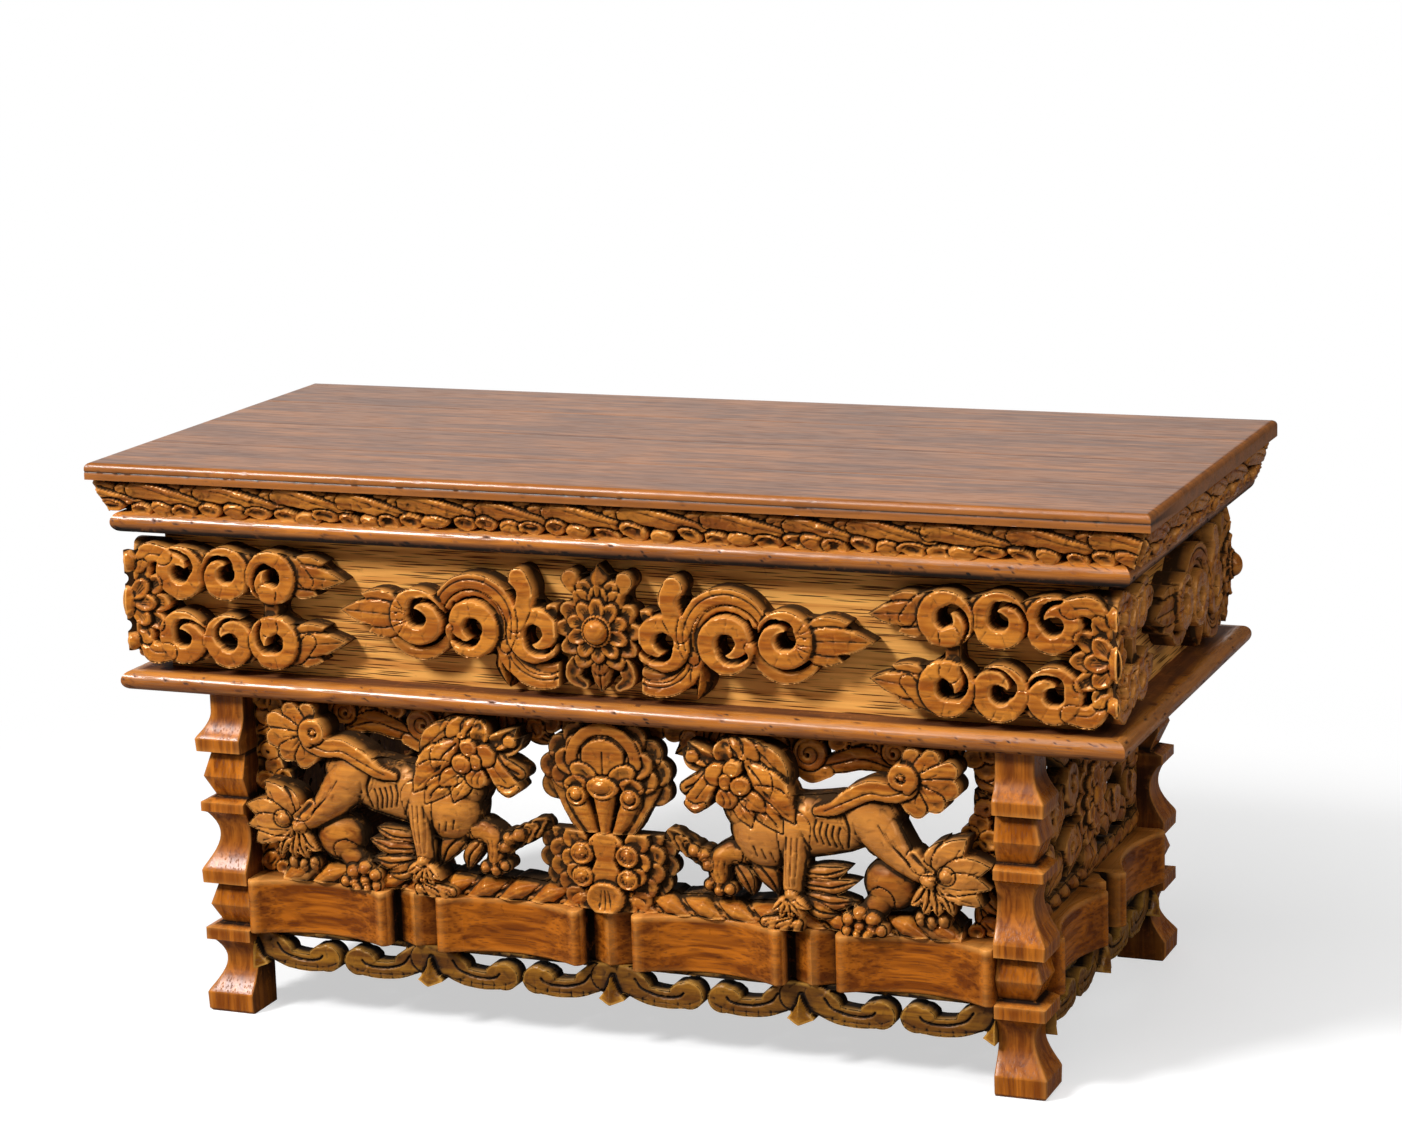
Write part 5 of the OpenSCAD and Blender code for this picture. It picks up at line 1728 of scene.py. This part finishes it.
def add_node(tree: bpy.types.NodeTree, kind: str, inputs: dict[str | int, object] | None = None,
             **settings: object) -> bpy.types.Node:
    """Add a node with its settings and links.

    Args:
        tree: Tree to add it to.
        kind: Type of the node.
        inputs: Values, or sockets to link, by input name or number.
        **settings: Properties of the node.

    Returns:
        The node.
    """
    node = tree.nodes.new(kind)
    for key, value in settings.items():
        setattr(node, key, value)
    for key, value in (inputs or {}).items():
        if isinstance(value, bpy.types.NodeSocket):
            tree.links.new(value, node.inputs[key])
        else:
            node.inputs[key].default_value = value
    return node


class Grain(Enum):
    """Direction of the wood's grain, as the stretch of its pattern along X, Y and Z."""

    ALONG_FRONT = (0.075, 1.0, 1.0)
    ALONG_SIDE = (1.0, 0.075, 1.0)
    UPRIGHT = (1.0, 1.0, 0.075)


@dataclass(frozen=True)
class WoodFinish:
    """Close-grained hardwood, knife-cut, stained, glazed dark in the hollows and rubbed with oil.

    The eye gets honey-coloured faces with fine dark pores along the grain, nearly black hollows and
    pale rubbed edges, under a soft sheen. The dark of the hollows is glaze and painted shade, the
    pale of the edges rubbing and painted highlights.

    Attributes:
        name: Name of the material.
        pale: Colour of the early wood.
        deep: Colour of the late wood.
        pore: Colour of the pores.
        glaze: Colour of the glaze left in hollows, which also paints the shade in them and darkens
            the nicks.
        worn: Colour of rubbed edges, which also paints the highlights on them.
        grain: Direction of the grain.
        run: How many times longer than usual the grain runs.
        figure_mm: Width of a band of the figure.
        pore_mm: Width of a pore, drawn a little coarser than life so that it shows.
        pore_share: How strongly the pores show.
        patch: How strongly the colour varies from place to place.
        nick_share: How strongly small dents show.
        roughness: Roughness of the oiled surface.
        gloss: Specular level.
        amber: Colour of what the oil reflects straight back, yellowed with age.
        coat: Share of polish over the oil.
        depth_mm: Depth of the grain's bump.
    """

    name: str
    pale: str = "#d4842e"
    deep: str = "#9c5014"
    pore: str = "#401803"
    glaze: str = "#0e0400"
    worn: str = "#eea452"
    grain: Grain = Grain.ALONG_FRONT
    run: float = 1.0
    figure_mm: float = 7.0
    pore_mm: float = 1.1
    pore_share: float = 0.25
    patch: float = 0.6
    nick_share: float = 0.5
    roughness: float = 0.22
    gloss: float = 0.65
    amber: str = "#ffffff"
    coat: float = 0.0
    depth_mm: float = 0.25

    def material(self) -> Material:
        """Build the material.

        Returns:
            The material.
        """
        material = bpy.data.materials.new(self.name)
        material.use_nodes = True
        tree = material.node_tree
        tree.nodes.clear()
        place = add_node(tree, "ShaderNodeTexCoord").outputs["Object"]
        stretch = [s if s == 1 else s / self.run for s in self.grain.value]
        along = add_node(tree, "ShaderNodeMapping",
                         {"Vector": place, "Scale": stretch}).outputs["Vector"]
        pores = add_node(tree, "ShaderNodeTexVoronoi",
                         {"Vector": along, "Scale": 600 / self.pore_mm}).outputs["Distance"]
        # Clouds of colour: where they lie, their size in millimetres, detail, roughness and bend.
        figure, patches, dents = (
            add_node(tree, "ShaderNodeTexNoise",
                     {"Vector": vector, "Scale": 1000 / size, "Detail": detail,
                      "Roughness": rough, "Distortion": bend}).outputs["Fac"]
            for vector, size, detail, rough, bend in ((along, self.figure_mm, 4.0, 0.55, 0.7),
                                                      (place, 60, 4.0, 0.6, 0.0),
                                                      (place, 9, 3.0, 0.7, 0.8)))
        # Darkening of glaze and painted shade, and paling of rubbing and painted highlights, that
        # each piece carries.
        recess, wear = (add_node(tree, "ShaderNodeAttribute", attribute_name=name).outputs["Fac"]
                        for name in ("recess", "wear"))

        # Share of each layer: what it follows, where it starts and is full, and its most.
        share = {}
        for layer, source, low, high, most in (
                ("late wood", figure, 0.38, 0.62, 1.0), ("stain", patches, 0.48, 0.72, self.patch),
                ("pores", pores, 0.4, 0.27, self.pore_share),
                ("nicks", dents, 0.66, 0.73, self.nick_share),
                ("rubbing", patches, 0.2, 0.55, 0.9), ("hollows", recess, 0.05, 0.48, 1.0),
                ("settling", dents, 0.1, 0.45, 0.98)):
            share[layer] = add_node(tree, "ShaderNodeMapRange",
                                    {"Value": source, "From Min": low, "From Max": high,
                                     "To Min": 0.0, "To Max": most}).outputs["Result"]
        # Rubbed edges, whose paleness also paints their highlights, and the glaze in the hollows,
        # whose dark also paints the shade there.
        for layer, a, b in (("rubbed edges", wear, share["rubbing"]),
                            ("glaze", share["hollows"], share["settling"])):
            share[layer] = add_node(tree, "ShaderNodeMath", {0: a, 1: b}, operation="MULTIPLY",
                                    use_clamp=True).outputs[0]
        tone = linear(self.pale)
        for layer, colour in (("late wood", self.deep), ("stain", self.deep), ("pores", self.pore),
                              ("nicks", self.glaze), ("rubbed edges", self.worn),
                              ("glaze", self.glaze)):
            tone = add_node(tree, "ShaderNodeMix", {0: share[layer], 6: tone, 7: linear(colour)},
                            data_type="RGBA").outputs[2]
        relief = share["rubbing"]
        for layer, depth in (("late wood", -0.15), ("pores", -0.5), ("nicks", -0.5)):
            relief = add_node(tree, "ShaderNodeMath", {0: share[layer], 1: depth, 2: relief},
                              operation="MULTIPLY_ADD").outputs[0]
        bump = add_node(tree, "ShaderNodeBump", {"Height": relief, "Strength": 0.55,
                                                 "Distance": self.depth_mm * MM})
        dry = add_node(tree, "ShaderNodeMath", {0: share["glaze"], 1: share["pores"]},
                       operation="MAXIMUM").outputs[0]
        dullness = add_node(tree, "ShaderNodeMapRange",
                            {"Value": dry, "From Min": 0.0, "From Max": 0.8,
                             "To Min": self.roughness, "To Max": 0.85}).outputs["Result"]
        shader = add_node(tree, "ShaderNodeBsdfPrincipled",
                          {"Base Color": tone, "Roughness": dullness,
                           "Normal": bump.outputs["Normal"], "Specular IOR Level": self.gloss,
                           "IOR": 1.5, "Specular Tint": linear(self.amber),
                           "Coat Weight": self.coat, "Coat Roughness": 0.3})
        add_node(tree, "ShaderNodeOutputMaterial", {"Surface": shader.outputs["BSDF"]})
        return material


def nicks(places: np.ndarray, across: np.ndarray, seed: int, spacing: float,
          depth: float) -> np.ndarray:
    """Depths of small random dents over a strip.

    Args:
        places: Place along the strip of each row, in millimetres.
        across: Place across the strip of each column, in millimetres.
        seed: Seed of the dents.
        spacing: Usual distance between dents.
        depth: Greatest depth.

    Returns:
        Depth at each row and column.
    """
    rng = np.random.default_rng(seed)
    dents = np.zeros((len(places), len(across)))
    for _ in range(int((places[-1] - places[0]) / spacing)):
        u0, v0 = rng.uniform(places[0], places[-1]), rng.uniform(across[0], across[-1])
        length, width = rng.uniform(0.8, 3.6), rng.uniform(0.4, 0.95)
        deep, lean = depth * rng.uniform(0.25, 1), rng.normal(0, 0.25)
        du = places[:, None] - u0
        q = (du / length) ** 2 + ((across[None, :] - v0 - lean * du) / width) ** 2
        np.maximum(dents, deep * np.clip(1 - q, 0, 1) ** 0.5, out=dents)
    return dents


@dataclass
class Nosing:
    """Mitred frame with a half-round nose, dented along the nose by long use.

    Attributes:
        name: Beginning of the frame's node names.
        slot: The record's material slot; not used.
        half_w: Half the outer width in millimetres.
        half_d: Half the outer depth.
        low_z: Height of the underside.
        rise: Thickness.
        member: Width of a stick.
        soot: Painted shade on the underside of the nose.
    """

    name: str
    slot: str
    half_w: float
    half_d: float
    low_z: float
    rise: float
    member: float
    soot: float = 0.42

    def build(self, finish: BothWays) -> None:
        """Make the four sticks.

        Args:
            finish: Finish with its grain along each side.
        """
        r = self.rise / 2
        arc = np.radians(np.linspace(-90, 90, 17))
        nose = np.column_stack([r - r * np.cos(arc), self.low_z + r + r * np.sin(arc)])
        top, low = nose[-1] + [6, 0], nose[0] + [6, 0]
        profile = np.vstack([nose, top, (self.member, top[1]), (self.member, low[1]), low])
        rest = (0, len(profile) - len(nose))
        inwards = np.pad(np.column_stack([np.cos(arc), -np.sin(arc)]), (rest, (0, 0)))
        # The upper half of the nose is painted paler, as rubbing and a painted highlight; the lower
        # half darker, as painted shade; the rest of the stick a little darker.
        edge = np.pad(0.12 + 0.3 * np.clip(np.sin(arc), 0, 1), rest)
        shade = np.pad(self.soot * np.clip(-np.sin(arc), 0, 1), rest, constant_values=0.3)
        for seed, side in enumerate(Side, start=61):
            name = side.name.lower()
            half, out = side.pick((self.half_w, self.half_d), (self.half_d, self.half_w))
            share = np.linspace(-1, 1, int(half) + 1)
            dents = np.pad(nicks(half * share, r * arc, seed, 5.0, 0.5), ((0, 0), rest))
            d, z = (profile[:, k] + dents * inwards[:, k] for k in (0, 1))
            rows = np.stack([share[:, None] * (half - d), out - d, z], -1) @ side.axes * MM
            obj = loft(f"{self.name}_stick_{name}", rows, recess=1.3 * dents + shade,
                       wear=edge * (dents < 0.1))
            finish_piece(obj, [f"{self.name}_{name}"], side.pick(*finish))


@dataclass
class TopBoards:
    """Four glued boards with a rounded upper lip, dented along the front edge.

    Attributes:
        half_w: Half the width in millimetres.
        half_d: Half the depth.
        low_z: Height of the underside.
        rise: Thickness.
        lip: Radius of the upper lip.
        joint: Radius along a glued joint.
        count: Number of boards.
        groove: Row of the front face that is cut as a fine groove.
    """

    half_w: float = 390.0
    half_d: float = 176.0
    low_z: float = 391.0
    rise: float = 12.0
    lip: float = 4.0
    joint: float = 0.4
    count: int = 4
    groove: int = 4

    def build(self, finish: Material) -> None:
        """Make the boards.

        Args:
            finish: Finish of the polished top.
        """
        top, r, last = self.low_z + self.rise, self.lip, self.count - 1
        width = 2 * self.half_d / self.count
        inner = self.half_w - r
        ends = inner + r * np.sin(np.radians(np.linspace(0, 90, 7)))
        x = np.concatenate([-ends[::-1], np.arange(1 - inner, inner, 1.5), ends])
        fall = r - np.sqrt(np.clip(r**2 - np.clip(np.abs(x) - inner, 0, None) ** 2, 0, None))
        for k in range(self.count):
            front, back = width * k - self.half_d, width * (k + 1) - self.half_d
            fore, rear = r if k == 0 else self.joint, r if k == last else self.joint
            face = [(front, z) for z in np.linspace(self.low_z + 0.5, top - fore, 7)]
            edge = face + circle_line((front + fore, top - fore), fore, 180, -90, 6)[1:]
            ring = edge + [(y, top) for y in np.linspace(front + fore, back - rear, 14)[1:-1]]
            ring += circle_line((back - rear, top - rear), rear, 90, -90, 6)
            ring = np.array(ring + [(back, self.low_z), (front, self.low_z)])
            dents, wear = np.zeros((2, len(x), len(ring)))
            if k == 0:
                across = np.linspace(0, self.rise, len(edge))
                dents[:, :len(edge)] = nicks(x, across, 71, 5.5, 0.4)
                # The groove along the front face is painted dark, as glaze and the shade in it.
                dents[:, self.groove] += 0.7
                # The front face here, and the ends below, are painted paler, as rubbing and a
                # painted highlight.
                wear[:, :len(edge) - 1] = 0.55
            wear[np.abs(x) > self.half_w - 0.7 * r] = 0.55
            y = ring[:, 0] + dents * 0.9
            above = np.arange(len(ring)) >= len(face)
            z = np.minimum(ring[:, 1] - dents * 0.4 * above, top - fall[:, None])
            rows = np.stack([np.broadcast_to(x[:, None], y.shape), y, z], -1) * MM
            obj = loft(f"top_plank_{k + 1}", rows, recess=0.7 * dents, wear=wear)
            finish_piece(obj, [f"top_board_{k + 1}"], finish)


@dataclass
class Boards:
    """Plain members that keep their CAD shape: frieze boards, back cornice and hidden blocks."""

    def dress(self, finishes: dict[str, Material]) -> None:
        """Give each member its finish.

        Args:
            finishes: Finish for each beginning of a node's name, the longer beginning first.
        """
        for name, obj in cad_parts.items():
            for start in sorted(finishes, key=len, reverse=True):
                if name.startswith(start):
                    obj.data.materials.clear()
                    obj.data.materials.append(finishes[start])
                    LOG.info("%s: %s", name, finishes[start].name)
                    break


@dataclass
class Studio:
    """White floor, soft lamps and the camera.

    Attributes:
        eye: Place of the camera in metres.
        yaw: Turn of the camera about Z in degrees.
        pitch: Tilt of the camera in degrees.
        roll: Roll of the camera in degrees.
        lens: Focal length in millimetres on a 36 mm sensor.
        sky: Strength of the even light from all round.
        key: Power of the main lamp in watts.
        fill: Power of the lamp on the right in watts.
        roof: Power of the lamp overhead in watts.
        sheen: Power of the lamp behind that shows in the polished top.
        floor_lift: White that the camera sees in the floor besides its shading.
        paper: Half the side of the floor in metres.
    """

    eye: Vector3 = (0.9827, -2.3945, 0.8745)
    yaw: float = 22.1
    pitch: float = -12.2
    roll: float = -1.7
    lens: float = 94.34
    sky: float = 0.08
    key: float = 178.0
    fill: float = 26.0
    roof: float = 24.0
    sheen: float = 9.0
    floor_lift: float = 0.55
    paper: float = 14.0

    def camera(self) -> None:
        """Set up the camera at the photograph's viewing angle."""
        data = bpy.data.cameras.new("camera")
        data.sensor_width, data.lens = 36.0, self.lens
        yaw, pitch, roll = (math.radians(a) for a in (self.yaw, self.pitch, self.roll))
        level = math.cos(pitch)
        ahead = Vector((-math.sin(yaw) * level, math.cos(yaw) * level, math.sin(pitch)))
        right = ahead.cross(Vector(UP)).normalized()
        up = right.cross(ahead)
        across = right * math.cos(roll) + up * math.sin(roll)
        upward = up * math.cos(roll) - right * math.sin(roll)
        obj = bpy.data.objects.new("camera", data)
        obj.matrix_world = Matrix((across, upward, -ahead)).transposed().to_4x4()
        obj.location = self.eye
        bpy.context.scene.collection.objects.link(obj)
        bpy.context.scene.camera = obj

    def lamp(self, name: str, spot: Vector3, size: float, power: float) -> None:
        """Hang a square soft lamp that points at the table.

        Args:
            name: Name of the lamp.
            spot: Place in metres.
            size: Side of the lamp in metres.
            power: Power in watts.
        """
        data = bpy.data.lights.new(name, "AREA")
        data.shape, data.size, data.energy = "SQUARE", size, power
        obj = bpy.data.objects.new(name, data)
        obj.location = spot
        obj.rotation_mode = "QUATERNION"
        obj.rotation_quaternion = (Vector((0, 0, 0.2)) - Vector(spot)).to_track_quat("-Z", "Y")
        bpy.context.scene.collection.objects.link(obj)

    def world(self) -> None:
        """White surroundings that light the table evenly."""
        world = bpy.data.worlds.new("studio")
        bpy.context.scene.world = world
        world.use_nodes = True
        tree = world.node_tree
        tree.nodes.clear()
        seen = add_node(tree, "ShaderNodeLightPath").outputs["Is Camera Ray"]
        strength = add_node(tree, "ShaderNodeMapRange",
                            {"Value": seen, "To Min": self.sky, "To Max": 1.0}).outputs["Result"]
        glow = add_node(tree, "ShaderNodeBackground",
                        {"Color": linear("#ffffff"), "Strength": strength})
        add_node(tree, "ShaderNodeOutputWorld", {"Surface": glow.outputs["Background"]})

    def floor(self) -> None:
        """White paper floor that fades into the background away from the table."""
        material = bpy.data.materials.new("matt_white_paper")
        material.use_nodes = True
        tree = material.node_tree
        tree.nodes.clear()
        place = add_node(tree, "ShaderNodeTexCoord").outputs["Object"]
        away = add_node(tree, "ShaderNodeVectorMath", {0: place}, operation="LENGTH")
        fade = add_node(tree, "ShaderNodeMapRange",
                        {"Value": away.outputs["Value"], "From Min": 0.5, "From Max": 1.05,
                         "To Min": 0.0, "To Max": 1.0}, interpolation_type="SMOOTHSTEP")
        matt, shaded = (add_node(tree, "ShaderNodeBsdfDiffuse", {"Color": linear(grey)}).outputs[0]
                        for grey in ("#8c8c8c", "#c4c4c4"))
        lift, white = (add_node(tree, "ShaderNodeEmission",
                                {"Color": linear("#ffffff"), "Strength": strength}).outputs[0]
                       for strength in (self.floor_lift, 1.0))
        paper = add_node(tree, "ShaderNodeAddShader", {0: shaded, 1: lift}).outputs[0]
        shown = add_node(tree, "ShaderNodeMixShader",
                         {0: fade.outputs["Result"], 1: paper, 2: white}).outputs[0]
        seen = add_node(tree, "ShaderNodeLightPath").outputs["Is Camera Ray"]
        either = add_node(tree, "ShaderNodeMixShader", {0: seen, 1: matt, 2: shown})
        add_node(tree, "ShaderNodeOutputMaterial", {"Surface": either.outputs[0]})
        corners = np.array([(-1, -1, 0), (1, -1, 0), (1, 1, 0), (-1, 1, 0)], float)
        obj = make_mesh("floor", self.paper * corners, [np.array([[0, 1, 2, 3]])])
        obj.data.materials.append(material)

    def build(self) -> None:
        """Set up floor, surroundings, lamps and camera."""
        bpy.context.scene.view_settings.view_transform = "Standard"
        self.floor()
        self.world()
        self.lamp("key_lamp", (-2.0, -2.7, 2.9), 0.9, self.key)
        self.lamp("fill_lamp", (2.4, -1.4, 2.0), 1.6, self.fill)
        self.lamp("roof_lamp", (0.2, -0.9, 2.5), 1.6, self.roof)
        self.lamp("sheen_lamp", (-1.2, 2.6, 1.0), 2.2, self.sheen)
        self.camera()


def both_ways(front: str, side: str, **values: object) -> BothWays:
    """Make one finish with the grain along the front, and again along the sides.

    Args:
        front: Name of the material along the front.
        side: Name of the material along the sides.
        **values: Values of the finish.

    Returns:
        The two materials.
    """
    return BothWays(WoodFinish(front, grain=Grain.ALONG_FRONT, **values).material(),
                    WoodFinish(side, grain=Grain.ALONG_SIDE, **values).material())


def main() -> None:
    """Build the table's pieces, dress them and set up the studio."""
    logging.basicConfig(level=logging.INFO, format="%(name)s: %(message)s")
    oiled: dict[str, object] = {"amber": "#e4b88c", "gloss": 0.85}
    carved = both_ways("hardwood_carved_along_front", "hardwood_carved_along_side", **oiled)
    upright = WoodFinish("hardwood_carved_upright", grain=Grain.UPRIGHT, **oiled).material()
    planed = both_ways("hardwood_planed_along_front", "hardwood_planed_along_side", pale="#c06a18",
                       deep="#783a0b", patch=0.3, run=2.0, pore_share=0.4, nick_share=0.35,
                       gloss=0.14)
    rubbed = both_ways("hardwood_rubbed_along_front", "hardwood_rubbed_along_side", pale="#a46c1e",
                       deep="#70400f", worn="#c8923f", gloss=0.25)
    leg = WoodFinish("hardwood_planed_upright", pale="#c4701e", deep="#86430d", grain=Grain.UPRIGHT,
                     nick_share=0.3, gloss=0.2).material()
    moulded = both_ways("hardwood_moulded", "hardwood_moulded_side", pale="#b96c22", deep="#7d3c0b",
                        pore_share=0.4, nick_share=0.5, roughness=0.26, gloss=0.55)
    top = WoodFinish("hardwood_polished_top", pale="#aa672b", deep="#734119", pore="#3f1a06",
                     worn="#b4681c", figure_mm=8, nick_share=0.0, roughness=0.36, gloss=0.4,
                     coat=0.45, depth_mm=0.08).material()
    oak = both_ways("oak_sawn_frieze", "oak_sawn_frieze_side", pale="#ffba60", deep="#dc9144",
                    pore="#46200a", run=2.6, pore_mm=0.75, pore_share=0.95, figure_mm=5, patch=0.4,
                    nick_share=0.2, roughness=0.5, gloss=0.16)
    inner = WoodFinish("hardwood_sawn_inner", pale="#a9743f", deep="#86552a", gloss=0.25,
                       roughness=0.6).material()

    LionPanel().build(carved.front)
    FriezeCarving().build(carved)
    Cornice().build(carved)
    Legs().build(leg)
    Rails().build(planed, rubbed)
    SidePanels().build(upright)
    TopBoards().build(top)
    Nosing("bead", "carved_wood", half_w=375.0, half_d=170.5, low_z=352.0, rise=15.0, member=46.0,
           soot=0.8).build(moulded)
    Nosing("waist", "frame_wood", half_w=372.0, half_d=174.0, low_z=237.0, rise=14.0, member=105.0,
           soot=0.25).build(moulded)
    Boards().dress({"frieze_": oak.front, "frieze_left": oak.side, "frieze_right": oak.side,
                    "cornice_back": planed.front, "corner_block": inner, "top_batten": inner})
    Studio().build()


if __name__ == "__main__":
    main()
